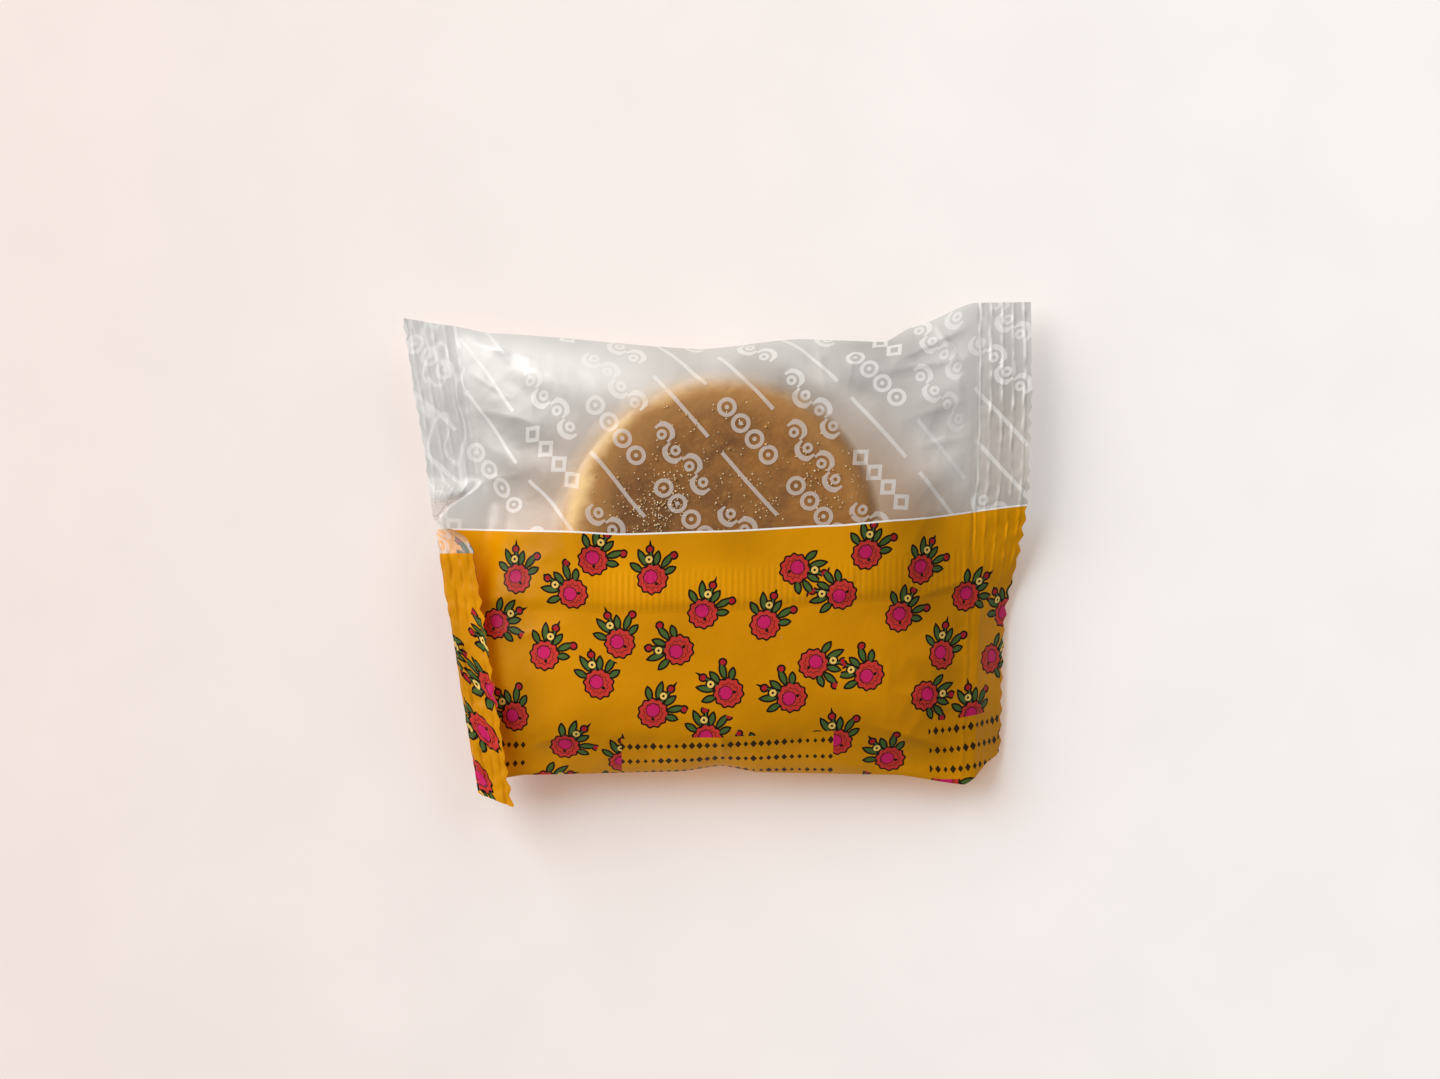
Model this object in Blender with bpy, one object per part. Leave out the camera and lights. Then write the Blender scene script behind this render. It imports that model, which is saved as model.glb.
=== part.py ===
"""A flow-wrapped maamoul: one round filled cookie shut in a printed film pack, lying down.

The pack is one closed solid. It is drawn as a film tube with two flat end seals and a fin
seal along its back, which is the side that faces up. All sizes are in millimetres, and the
mesh is scaled to metres when it is made.
"""

import math

import bmesh
import bpy
from mathutils import Vector, noise

MM = 0.001

# Cookie that fills the pack
COOKIE_RADIUS = 29.0
COOKIE_HEIGHT = 16.2
COOKIE_CENTRE = (-0.2, 2.7)
COOKIE_FACE_RADIUS = 24.0
COOKIE_DOME = 0.9
COOKIE_RIM_DROP = 5.5

# Outline of the flat tube as the photo shows it: x, y of the two folded sides
TOP_SIDE = ((-56.0, 40.9), (-47.5, 39.6), (-40.0, 38.2), (-3.0, 35.4), (14.0, 37.2),
            (29.0, 36.7), (34.0, 39.3), (45.0, 43.6), (56.0, 43.7))
BOTTOM_SIDE = ((-56.0, -43.0), (-43.0, -41.8), (-39.5, -40.0), (-34.0, -39.2), (-7.0, -38.6),
               (0.5, -37.6), (7.0, -38.8), (31.0, -39.2), (43.0, -40.9), (49.5, -36.8), (56.0, -33.0))

# Left end: outer line of the pack, leaning in towards the bottom
LEFT_AT_TOP = -55.4
LEFT_LEAN = 0.162
LEFT_SEAL_WIDTH = 9.6
LEFT_FOLD_START = 13.0
LEFT_FOLD_END = 1.0
LEFT_PILLOW_END = -18.0
LEFT_FOLD_ANGLE = math.radians(150.0)
LEFT_BEND_RADIUS = 1.25
LEFT_GATHER = 0.5
LEFT_END_SKEW = 1.9

# Right end: the seal's inner line, and how the lower part bends down
RIGHT_AT_TOP = 45.2
RIGHT_AT_BOTTOM = 42.4
RIGHT_SEAL_WIDTH = 9.6
RIGHT_BEND_START = 13.0
RIGHT_BEND_END = -14.0
RIGHT_BEND_ANGLE = math.radians(-47.0)
RIGHT_BEND_RADIUS = 4.0

# Crimped end seals
SEAL_HALF = 0.32
RIB_HEIGHT = 0.16
RIB_PITCH = 2.3
TOOTH = 0.45
SEAL_Z = 7.6

# Fin seal along the back, folded up over the clear panel
FIN_WIDTH = 14.0
FIN_FREE_EDGE = ((-56.0, 4.2), (-27.0, 3.6), (-17.0, 3.1), (0.0, 3.6), (20.0, 4.6), (32.0, 5.6),
                 (56.0, 8.4))
FIN_THICKNESS = 0.4
FIN_GAP_AT_BASE = 0.15
FIN_GAP_AT_EDGE = 0.75
FIN_EASE = 0.08

# Pillow
PILLOW_TOP = 10.9
PILLOW_BOTTOM = 9.4
PILLOW_END_POWER = 2.4
PILLOW_SIDE_POWER = 3.0
PILLOW_SIDE_ROUND = 0.62
PILLOW_CORNER_SHARP = 0.3
EDGE_HALF = 0.45
CONTACT_BLEND = 1.5

# Large folds where the film is drawn in towards the cookie: start, end, width, height
FOLDS = (
    ((-47.0, 39.0), (-18.0, 24.0), 3.0, 1.3),
    ((-48.0, 30.0), (-22.0, 17.0), 3.0, 0.8),
    ((-47.0, 19.0), (-27.0, 12.0), 2.8, 0.6),
    ((45.5, 42.0), (14.0, 27.0), 3.2, 1.5),
    ((45.0, 30.0), (24.0, 20.0), 3.0, 0.9),
    ((44.5, 16.0), (26.0, 9.0), 2.8, 0.6),
    ((43.5, -38.0), (18.0, -22.0), 3.2, 1.2),
    ((43.0, -22.0), (25.0, -13.0), 3.0, 0.7),
    ((-41.0, -38.0), (-17.0, -22.0), 3.2, 1.0),
    ((14.0, 37.5), (8.0, 25.0), 3.0, 0.8),
)

# Mesh: columns across each seal and the tube, rows below, under and above the fin's edge
LEFT_COLUMNS = 8
TUBE_COLUMNS = 24
RIGHT_COLUMNS = 8
LOWER_ROWS = 18
FIN_ROWS = 8
UPPER_ROWS = 22

CLEAR = 0
PRINTED = 1


def smooth(value, low, high):
    """0 below low, 1 above high, and an S-curve between them (low may be the larger)."""
    t = min(1.0, max(0.0, (value - low) / (high - low)))
    return t * t * (3.0 - 2.0 * t)


def along(points, x):
    """Height of an outline at x: a rounded line through its points."""
    if x <= points[0][0]:
        return points[0][1]
    for (x0, y0), (x1, y1) in zip(points, points[1:]):
        if x <= x1:
            return y0 + (y1 - y0) * (0.5 * (x - x0) / (x1 - x0) + 0.5 * smooth(x, x0, x1))
    return points[-1][1]


def wave(x, y, size, seed):
    """Soft even noise, about -1 to 1, with features of the given size."""
    return 1.6 * noise.noise(Vector((x / size, y / size, seed)))


def crease(x, y, start, end, width, height):
    """A straight fold that stands up along its line and dies away at both ends."""
    dx, dy = end[0] - start[0], end[1] - start[1]
    length = math.hypot(dx, dy)
    t = ((x - start[0]) * dx + (y - start[1]) * dy) / (length * length)
    if not 0.0 < t < 1.0:
        return 0.0
    off = ((x - start[0]) * dy - (y - start[1]) * dx) / length
    return height * math.exp(-(off / width) ** 2) * math.sin(math.pi * t) ** 0.7


def left_fold(y):
    """Angle by which the left seal is turned up and over at height y."""
    return LEFT_FOLD_ANGLE * smooth(y, LEFT_FOLD_START, LEFT_FOLD_END)


def left_gather(y):
    """How much of its width the left seal keeps at height y: drawn together in the twist."""
    return 1.0 - LEFT_GATHER * math.sin(math.pi * left_fold(y) / LEFT_FOLD_ANGLE)


def right_bend(y):
    """Angle by which the right seal droops at height y."""
    return RIGHT_BEND_ANGLE * smooth(y, RIGHT_BEND_START, RIGHT_BEND_END)


def left_inner(y):
    """Where the left seal begins: a seal's width in, or at the fold where it is folded."""
    edge = LEFT_AT_TOP + LEFT_LEAN * (TOP_SIDE[0][1] - y)
    flat = max(0.0, math.cos(left_fold(y)))
    return edge + LEFT_BEND_RADIUS + (LEFT_SEAL_WIDTH * left_gather(y) - LEFT_BEND_RADIUS) * flat


def left_pillow(y):
    """Where the pillow opens at the left: below the twist it eases out to the fold."""
    edge = LEFT_AT_TOP + LEFT_LEAN * (TOP_SIDE[0][1] - y)
    flat = 1.0 - smooth(y, LEFT_FOLD_START, LEFT_PILLOW_END)
    eased = edge + LEFT_BEND_RADIUS + (LEFT_SEAL_WIDTH - LEFT_BEND_RADIUS) * flat
    return max(left_inner(y), eased)


def right_inner(y):
    """Where the right seal begins."""
    t = smooth(y, BOTTOM_SIDE[0][1], TOP_SIDE[0][1])
    return RIGHT_AT_BOTTOM + (RIGHT_AT_TOP - RIGHT_AT_BOTTOM) * t


def bent(out, lift, angle, radius):
    """Carry a point of a flat strip round a bend: out from the bend's line, lift off the strip."""
    side = math.copysign(1.0, angle)
    turn = min(abs(angle), max(0.0, out) / radius)
    rest = out - radius * turn
    run = radius * math.sin(turn) + rest * math.cos(turn)
    rise = radius * (1.0 - math.cos(turn)) + rest * math.sin(turn)
    return run - side * lift * math.sin(turn), side * rise + lift * math.cos(turn)


def row_height(section, share, x):
    """Flat y of a mesh row: below the fin's base, under the fin, or above its free edge."""
    low, high = along(BOTTOM_SIDE, x), along(TOP_SIDE, x)
    edge = along(FIN_FREE_EDGE, x)
    stops = (low, edge - FIN_WIDTH, edge, high)
    return stops[section] + (stops[section + 1] - stops[section]) * share


def cookie_top(x, y):
    """Height of the cookie's upper face and rounded rim, or -1 beside it."""
    r = math.hypot(x - COOKIE_CENTRE[0], y - COOKIE_CENTRE[1])
    if r >= COOKIE_RADIUS:
        return -1.0
    face = COOKIE_HEIGHT - COOKIE_DOME * (r / COOKIE_FACE_RADIUS) ** 2
    if r <= COOKIE_FACE_RADIUS:
        return face
    rim = (r - COOKIE_FACE_RADIUS) / (COOKIE_RADIUS - COOKIE_FACE_RADIUS)
    return face - COOKIE_RIM_DROP * (1.0 - math.sqrt(1.0 - rim * rim))


def middle(x, y):
    """Height of the seals and side folds, which wander a little."""
    return SEAL_Z + 0.7 * wave(x, y, 34.0, 2.0) - 1.1 * smooth(abs(y), 26.0, 42.0)


def swell(x, y):
    """How far the pillow is open: 0 at the seals and side folds, 1 over the cookie."""
    left, right = left_pillow(y), right_inner(y)
    a = (2.0 * x - left - right) / (right - left)
    low, high = along(BOTTOM_SIDE, x), along(TOP_SIDE, x)
    b = (2.0 * y - low - high) / (high - low)
    ends = max(0.0, 1.0 - abs(a) ** PILLOW_END_POWER)
    sides = max(0.0, 1.0 - abs(b) ** PILLOW_SIDE_POWER)
    return ends * sides ** (PILLOW_SIDE_ROUND + PILLOW_CORNER_SHARP * min(1.0, abs(a)))


def upper_film(x, y):
    """Height of the film on the side that faces up."""
    open_by = swell(x, y)
    free = min(1.0, 4.0 * open_by)
    ruffle = sum(crease(x, y, *fold) for fold in FOLDS) + 0.5 * wave(x, y, 17.0, 5.0)
    pillow = middle(x, y) + EDGE_HALF + PILLOW_TOP * open_by + ruffle * free
    roof = COOKIE_HEIGHT + 0.35 - COOKIE_DOME * (math.hypot(x, y) / COOKIE_FACE_RADIUS) ** 2
    if pillow > roof - CONTACT_BLEND:
        over = (pillow - roof + CONTACT_BLEND) / CONTACT_BLEND
        pillow = roof - CONTACT_BLEND * math.exp(-over)
    return max(pillow, cookie_top(x, y) + 0.2)


def lower_film(x, y):
    """Height of the film underneath: flat under the cookie, and rising to the seals."""
    open_by = swell(x, y)
    wrinkle = 0.4 * wave(x, y, 15.0, 9.0) * min(1.0, 4.0 * open_by)
    return max(0.0, middle(x, y) - EDGE_HALF - PILLOW_BOTTOM * open_by + wrinkle)


def rib(out, width):
    """Crimp ribs that run along an end seal."""
    if out <= 0.0:
        return 0.0
    fade = smooth(out, 0.0, 1.2) * smooth(out, width, width - 1.0)
    return RIB_HEIGHT * fade * math.cos(2.0 * math.pi * out / RIB_PITCH)


def place(side, out, tooth, section, share, lift):
    """A point of the pack in space.

    side -1 and 1 are the left and right seals, at a distance out from the seal's inner line,
    and side 0 is the tube, where out is the share of the way across it. lift is
    "under" for the lower film, or a height above the upper film.
    """
    y = row_height(section, share, 0.0)
    for _ in range(3):
        left, right = left_inner(y), right_inner(y)
        flat_x = {-1: left - out, 0: left + (right - left) * out, 1: right + out}[side]
        y = row_height(section, share, flat_x)
    if side == 0:
        if lift == "under":
            return Vector((flat_x, y, lower_film(flat_x, y)))
        return Vector((flat_x, y, upper_film(flat_x, y) + lift))
    inner = left if side < 0 else right
    width = LEFT_SEAL_WIDTH if side < 0 else RIGHT_SEAL_WIDTH
    angle = left_fold(y) if side < 0 else right_bend(y)
    radius = LEFT_BEND_RADIUS if side < 0 else RIGHT_BEND_RADIUS
    half = SEAL_HALF + (EDGE_HALF - SEAL_HALF) * (1.0 - smooth(out, 0.0, 1.0))
    height = -half if lift == "under" else half + lift
    kept = left_gather(y) if side < 0 else 1.0
    run, rise = bent((out + tooth) * kept, height + rib(out, width), angle, radius)
    if side < 0:
        turned = left_fold(y) / LEFT_FOLD_ANGLE
        y -= LEFT_END_SKEW * turned * smooth(y, 0.0, BOTTOM_SIDE[0][1]) * out / width
    return Vector((inner + side * run, y, middle(inner, y) + rise))


def columns():
    """Side, distance and outermost mark of every mesh column, left to right."""
    seal = [(-1, LEFT_SEAL_WIDTH * (1.0 - i / LEFT_COLUMNS)) for i in range(LEFT_COLUMNS)]
    tube = [(0, i / TUBE_COLUMNS) for i in range(TUBE_COLUMNS + 1)]
    far = [(1, RIGHT_SEAL_WIDTH * (i + 1) / RIGHT_COLUMNS) for i in range(RIGHT_COLUMNS)]
    across = seal + tube + far
    last = len(across) - 1
    return [(side, out, i in (0, last)) for i, (side, out) in enumerate(across)]


def rows():
    """Section and share of every mesh row, bottom to top."""
    lower = [(0, i / LOWER_ROWS) for i in range(LOWER_ROWS)]
    fin = [(1, i / FIN_ROWS) for i in range(FIN_ROWS)]
    upper = [(2, i / UPPER_ROWS) for i in range(UPPER_ROWS + 1)]
    return lower + fin + upper


def fin_gap(section, share, side, out):
    """Room between the fin and the film that it lies on: it opens away from the end seals."""
    open_by = smooth(out, 0.0, FIN_EASE) * smooth(out, 1.0, 1.0 - FIN_EASE) if side == 0 else 0.0
    up = share if section == 1 else 1.0
    return FIN_GAP_AT_BASE + (FIN_GAP_AT_EDGE - FIN_GAP_AT_BASE) * open_by * up


def make_layers(bm):
    """Points of every layer of film, as layer[row][column]."""
    all_rows, all_columns = rows(), columns()
    base, edge = LOWER_ROWS, LOWER_ROWS + FIN_ROWS
    under, film, fin_back, fin_face = [], [], {}, {}

    def row(r, lifts):
        section, share = all_rows[r]
        zigzag = TOOTH if r % 2 else -TOOTH
        return [bm.verts.new(place(side, out, zigzag if outermost else 0.0, section, share, lift) * MM)
                for (side, out, outermost), lift in zip(all_columns, lifts)]

    for r, (section, share) in enumerate(all_rows):
        film.append(row(r, [0.0] * len(all_columns)))
        shut = r in (0, len(all_rows) - 1)
        under.append(film[-1] if shut else row(r, ["under"] * len(all_columns)))
        if base < r <= edge:
            gaps = [fin_gap(section, share, side, out) for side, out, outermost in all_columns]
            fin_face[r] = row(r, [gap + FIN_THICKNESS for gap in gaps])
            if r > base + 1:
                fin_back[r] = row(r, gaps)
    fin_face[base] = film[base]
    fin_back[base + 1] = film[base + 1]
    return under, film, fin_back, fin_face


def strip(bm, first, second, material, flip=False):
    """Faces between two rows of points."""
    for a, b, c, d in zip(first, first[1:], second[1:], second):
        corners = [a, b, c, d]
        if flip:
            corners.reverse()
        bm.faces.new(corners).material_index = material


def wall(bm, loop, material):
    """One face of the cut edge at an end of the pack, without repeated corners."""
    corners = []
    for vert in loop:
        if vert not in corners:
            corners.append(vert)
    if len(corners) > 2:
        bm.faces.new(corners).material_index = material


def build_pack():
    """The pack: film above and below, the fin's two faces, and the cut edges of both ends."""
    bm = bmesh.new()
    under, film, fin_back, fin_face = make_layers(bm)
    base, edge, last = LOWER_ROWS, LOWER_ROWS + FIN_ROWS, len(film) - 1
    for r in range(last):
        printed_below = PRINTED if r < edge - 1 else CLEAR
        strip(bm, under[r], under[r + 1], printed_below, flip=True)
        if r != base:
            strip(bm, film[r], film[r + 1], PRINTED if r < base else CLEAR)
        if base <= r < edge:
            strip(bm, fin_face[r], fin_face[r + 1], PRINTED)
        if base < r < edge:
            strip(bm, fin_back[r], fin_back[r + 1], PRINTED, flip=True)
    strip(bm, fin_face[edge], fin_back[edge], PRINTED)
    for end in (0, -1):
        for r in range(last):
            side = PRINTED if r < edge else CLEAR
            wall(bm, [under[r][end], under[r + 1][end], film[r + 1][end], film[r][end]], side)
            if base <= r < edge:
                back = [fin_back[max(r, base + 1)][end], fin_back[r + 1][end]]
                wall(bm, back + [fin_face[r + 1][end], fin_face[r][end]], PRINTED)
    bmesh.ops.triangulate(bm, faces=bm.faces[:], quad_method="SHORT_EDGE")
    bmesh.ops.recalc_face_normals(bm, faces=bm.faces[:])
    return bm


def centred(bm):
    """Put the middle of the bounding box over the origin, and its underside at z = 0."""
    lows = [min(v.co[i] for v in bm.verts) for i in range(3)]
    highs = [max(v.co[i] for v in bm.verts) for i in range(3)]
    shift = Vector((-(lows[0] + highs[0]) / 2.0, -(lows[1] + highs[1]) / 2.0, -lows[2]))
    bmesh.ops.translate(bm, verts=bm.verts[:], vec=shift)


def film_material(name, colour, roughness):
    """A plain glossy film."""
    material = bpy.data.materials.new(name)
    material.use_nodes = True
    shader = material.node_tree.nodes["Principled BSDF"]
    shader.inputs["Base Color"].default_value = (*colour, 1.0)
    shader.inputs["Roughness"].default_value = roughness
    shader.inputs["Metallic"].default_value = 0.0
    return material


def main():
    for thing in list(bpy.data.objects):
        bpy.data.objects.remove(thing, do_unlink=True)
    bm = build_pack()
    centred(bm)
    mesh = bpy.data.meshes.new("flow_pack")
    bm.to_mesh(mesh)
    bm.free()
    mesh.materials.append(film_material("clear_film", (0.56, 0.55, 0.51), 0.25))
    mesh.materials.append(film_material("printed_film", (0.72, 0.33, 0.02), 0.3))
    mesh.shade_smooth()
    mesh.set_sharp_from_angle(angle=math.radians(35.0))
    pack = bpy.data.objects.new("flow_pack", mesh)
    bpy.context.scene.collection.objects.link(pack)


main()
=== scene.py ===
# %% [markdown]
# # A flow-wrapped maamoul
# A filled cookie is shut in a film pack that lies on its front, so its back shows. The packed
# model gives one closed solid for the whole pack. Here that solid gives way to what it stands
# for: two sheets of film, a fin seal, the cookie inside, and the sugar that fell off it.

# %% The frame
import math

import bpy
import numpy as np
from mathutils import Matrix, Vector, noise


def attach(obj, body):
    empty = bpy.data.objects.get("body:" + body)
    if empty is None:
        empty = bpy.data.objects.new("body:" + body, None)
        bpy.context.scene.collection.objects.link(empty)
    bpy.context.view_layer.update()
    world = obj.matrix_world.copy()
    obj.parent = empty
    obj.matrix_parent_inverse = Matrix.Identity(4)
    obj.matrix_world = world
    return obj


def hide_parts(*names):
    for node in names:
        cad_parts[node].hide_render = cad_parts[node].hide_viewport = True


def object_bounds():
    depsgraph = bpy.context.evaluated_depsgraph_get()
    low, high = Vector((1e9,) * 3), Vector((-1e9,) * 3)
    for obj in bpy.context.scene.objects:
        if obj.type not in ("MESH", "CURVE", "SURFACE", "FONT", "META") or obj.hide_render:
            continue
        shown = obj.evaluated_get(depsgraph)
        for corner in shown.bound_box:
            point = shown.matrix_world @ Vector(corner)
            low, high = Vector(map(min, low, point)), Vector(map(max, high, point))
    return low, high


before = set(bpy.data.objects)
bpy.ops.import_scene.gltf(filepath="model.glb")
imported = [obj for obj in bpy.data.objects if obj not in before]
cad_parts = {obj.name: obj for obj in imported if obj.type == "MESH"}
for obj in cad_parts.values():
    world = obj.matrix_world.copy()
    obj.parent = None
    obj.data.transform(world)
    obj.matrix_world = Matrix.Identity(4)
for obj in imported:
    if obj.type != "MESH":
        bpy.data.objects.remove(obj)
cad_low, cad_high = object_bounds()
PACK = "flow_pack"
print("pack", [round(v * 1000, 1) for v in cad_high - cad_low], "mm")

# %% [markdown]
# ## Units and small helpers
# A packer works in millimetres, so the sizes below are in them, and a mesh is scaled to metres
# when it is made. The shape functions take whole arrays at once, because a film fine enough
# to show its crimp ribs has some hundred thousand points.

# %% Helpers for shapes
MM = 0.001


def smooth(value, low, high):
    """0 below low, 1 above high, and an S-curve between them (low may be the larger)."""
    t = np.clip((value - low) / (high - low), 0.0, 1.0)
    return t * t * (3.0 - 2.0 * t)


def along(points, x):
    """Height of an outline at x: a rounded line through its points."""
    xs, ys = np.array(points).T
    x = np.clip(x, xs[0], xs[-1])
    i = np.clip(np.searchsorted(xs, x, side="right") - 1, 0, len(xs) - 2)
    t = (x - xs[i]) / (xs[i + 1] - xs[i])
    return ys[i] + (ys[i + 1] - ys[i]) * (0.5 * t + 0.5 * smooth(t, 0.0, 1.0))


def wave(x, y, size, seed):
    """Soft even noise, about -1 to 1, with features of the given size."""
    points = zip(np.ravel(x) / size, np.ravel(y) / size)
    return 1.6 * np.array([noise.noise((a, b, seed)) for a, b in points]).reshape(np.shape(x))


def by_line(x, y, start, end):
    """Share of the way along a line, from 0 to 1, and the distance off it."""
    dx, dy = end[0] - start[0], end[1] - start[1]
    length = math.hypot(dx, dy)
    t = np.clip(((x - start[0]) * dx + (y - start[1]) * dy) / length ** 2, 0.0, 1.0)
    return t, ((x - start[0]) * dy - (y - start[1]) * dx) / length


def crease(x, y, start, end, width, height):
    """A straight fold that stands up along its line and dies away at both ends."""
    t, off = by_line(x, y, start, end)
    return height * np.exp(-(off / width) ** 2) * np.sin(math.pi * t) ** 0.7


# %% [markdown]
# ## The film's outline
# The pack is a tube of film, 84 mm wide when flat, cut from a reel and crimped shut at both
# ends. Between the ends the cookie draws the two folded sides together, so the corners flare.
# The outline is kept as the few points where it really changes direction, and a rounded line
# joins them.

# %% Outline and seal sizes
TOP_SIDE = ((-56.0, 40.9), (-47.5, 39.6), (-40.0, 38.2), (-3.0, 35.4), (14.0, 37.2),
            (29.0, 36.7), (34.0, 39.3), (45.0, 43.6), (56.0, 43.7))
BOTTOM_SIDE = ((-56.0, -43.0), (-43.0, -41.8), (-39.5, -40.0), (-34.0, -39.2), (-7.0, -38.6),
               (0.5, -37.6), (7.0, -38.8), (31.0, -39.2), (43.0, -40.9), (49.5, -36.8), (56.0, -33.0))
LEFT_AT_TOP = -55.4
LEFT_LEAN = 0.162
LEFT_WIDTH = 9.6
LEFT_FOLD = (13.0, 1.0)
LEFT_PILLOW_END = -18.0
LEFT_ANGLE = math.radians(150.0)
LEFT_RADIUS = 1.25
LEFT_GATHER = 0.5
LEFT_SKEW = 1.9
RIGHT_AT_TOP = 45.2
RIGHT_AT_BOTTOM = 42.4
RIGHT_WIDTH = 9.6
RIGHT_BEND = (13.0, -14.0)
RIGHT_ANGLE = math.radians(-47.0)
RIGHT_RADIUS = 4.0
FIN_WIDTH = 14.0
FIN_FREE_EDGE = ((-56.0, 4.2), (-27.0, 3.6), (-17.0, 3.1), (0.0, 3.6), (20.0, 4.6), (32.0, 5.6),
                 (56.0, 8.4))


def left_fold(y):
    """Angle by which the left seal is turned up and over at height y."""
    return LEFT_ANGLE * smooth(y, *LEFT_FOLD)


def left_gather(y):
    """How much of its width the left seal keeps at height y: drawn together in the twist."""
    return 1.0 - LEFT_GATHER * np.sin(math.pi * left_fold(y) / LEFT_ANGLE)


def right_bend(y):
    """Angle by which the right seal droops at height y."""
    return RIGHT_ANGLE * smooth(y, *RIGHT_BEND)


def left_inner(y):
    """Where the left seal begins: a seal's width in, or at the fold where it is folded."""
    edge = LEFT_AT_TOP + LEFT_LEAN * (TOP_SIDE[0][1] - y)
    flat = np.maximum(0.0, np.cos(left_fold(y)))
    return edge + LEFT_RADIUS + (LEFT_WIDTH * left_gather(y) - LEFT_RADIUS) * flat


def left_pillow(y):
    """Where the pillow opens at the left: below the twist it eases out to the fold."""
    edge = LEFT_AT_TOP + LEFT_LEAN * (TOP_SIDE[0][1] - y)
    flat = 1.0 - smooth(y, LEFT_FOLD[0], LEFT_PILLOW_END)
    return np.maximum(left_inner(y), edge + LEFT_RADIUS + (LEFT_WIDTH - LEFT_RADIUS) * flat)


def right_inner(y):
    """Where the right seal begins."""
    t = smooth(y, BOTTOM_SIDE[0][1], TOP_SIDE[0][1])
    return RIGHT_AT_BOTTOM + (RIGHT_AT_TOP - RIGHT_AT_BOTTOM) * t


def row_height(section, share, x):
    """Flat y of a mesh row: below the fin's base, under the fin, or above its free edge."""
    low, high = along(BOTTOM_SIDE, x), along(TOP_SIDE, x)
    edge = along(FIN_FREE_EDGE, x)
    stops = (low, edge - FIN_WIDTH, edge, high)
    return stops[section] + (stops[section + 1] - stops[section]) * share


# %% [markdown]
# ## The pillow
# A cookie 58 mm across and 16 mm thick fills the tube. Film can't stretch, so it runs in
# nearly straight lines from the cookie's edge to the seals, touches the cookie's face, and
# lies flat under its base. A cloth simulation could find this, but a pack's film is stiff and
# keeps sharp folds, so a formula with named folds gives more control and the same result on
# every run.

# %% Heights of the two sheets
COOKIE_RADIUS = 29.0
COOKIE_HEIGHT = 16.2
COOKIE_CENTRE = (-0.2, 2.7)
COOKIE_FACE_RADIUS = 24.0
COOKIE_DOME = 0.9
COOKIE_RIM_DROP = 5.5
COOKIE_EDGE_DROP = COOKIE_DOME * (COOKIE_RADIUS / COOKIE_FACE_RADIUS) ** 2 + COOKIE_RIM_DROP
COOKIE_SHOULDER = COOKIE_HEIGHT - COOKIE_EDGE_DROP
PILLOW_TOP = 10.9
PILLOW_BOTTOM = 9.4
END_FULLNESS = 2.4
SIDE_FULLNESS = 3.0
SIDE_CURVE = (0.62, 0.3)
SEAL_Z = 7.6
EDGE_HALF = 0.45
FOLD_SHARPNESS = 12
CONTACT_BLEND = 1.5
FILM_CLEAR = 0.35
FILM_TOUCH = 0.2
TWIST_SLACK = 5.0
# Each fold: from, to, half its width, and its height.
FOLDS = (
    ((-47.0, 39.0), (-18.0, 24.0), 3.0, 1.3),
    ((-48.0, 30.0), (-22.0, 17.0), 3.0, 0.8),
    ((-47.0, 19.0), (-27.0, 12.0), 2.8, 0.6),
    ((45.5, 42.0), (14.0, 27.0), 3.2, 1.5),
    ((45.0, 30.0), (24.0, 20.0), 3.0, 0.9),
    ((44.5, 16.0), (26.0, 9.0), 2.8, 0.6),
    ((43.5, -38.0), (18.0, -22.0), 3.2, 1.2),
    ((43.0, -22.0), (25.0, -13.0), 3.0, 0.7),
    ((-41.0, -38.0), (-17.0, -22.0), 3.2, 1.0),
    ((14.0, 37.5), (8.0, 25.0), 3.0, 0.8),
)


def middle(x, y):
    """Height of the seals and side folds, which wander a little."""
    return SEAL_Z + 0.7 * wave(x, y, 34.0, 2.0) - 1.1 * smooth(np.abs(y), 26.0, 42.0)


def across(x, y):
    """How far across the tube a place is: 0 in its middle, 1 at either folded side."""
    low, high = along(BOTTOM_SIDE, x), along(TOP_SIDE, x)
    return np.minimum(1.0, np.abs((2.0 * y - low - high) / (high - low)))


def half_gap(x, y):
    """Half the room between the films where the pillow is shut: none at the folded sides."""
    return EDGE_HALF * np.sqrt(1.0 - across(x, y) ** FOLD_SHARPNESS)


def swell(x, y):
    """How far the pillow is open: 0 at the seals and side folds, 1 over the cookie."""
    left, right = left_pillow(y), right_inner(y)
    a = np.minimum(1.0, np.abs((2.0 * x - left - right) / (right - left)))
    b = across(x, y)
    ends = np.maximum(0.0, 1.0 - a ** END_FULLNESS)
    slack = np.minimum(1.0, (left - left_inner(y)) / TWIST_SLACK)
    ends = ends * (1.0 - slack * smooth(x, left + TWIST_SLACK, left))
    sides = np.maximum(0.0, 1.0 - b ** SIDE_FULLNESS)
    return ends * sides ** (SIDE_CURVE[0] + SIDE_CURVE[1] * a)


def cookie_top(x, y):
    """Height of the cookie's upper face and rounded rim, or -1 beside it."""
    r = np.hypot(x - COOKIE_CENTRE[0], y - COOKIE_CENTRE[1])
    face = COOKIE_HEIGHT - COOKIE_DOME * (r / COOKIE_FACE_RADIUS) ** 2
    rim = np.clip((r - COOKIE_FACE_RADIUS) / (COOKIE_RADIUS - COOKIE_FACE_RADIUS), 0.0, 1.0)
    height = face - COOKIE_RIM_DROP * (1.0 - np.sqrt(1.0 - rim * rim))
    return np.where(r < COOKIE_RADIUS, height, -1.0)


# %% [markdown]
# ## Fine creases
# Besides its large folds, real film has sharp little creases: a fan of them where each seal
# gathers the tube, and faint facets where it was crumpled in the hand. A fold's cross-section
# is a cusp rather than a bump, so these use a pointed curve, and ridged noise gives facets.

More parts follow.
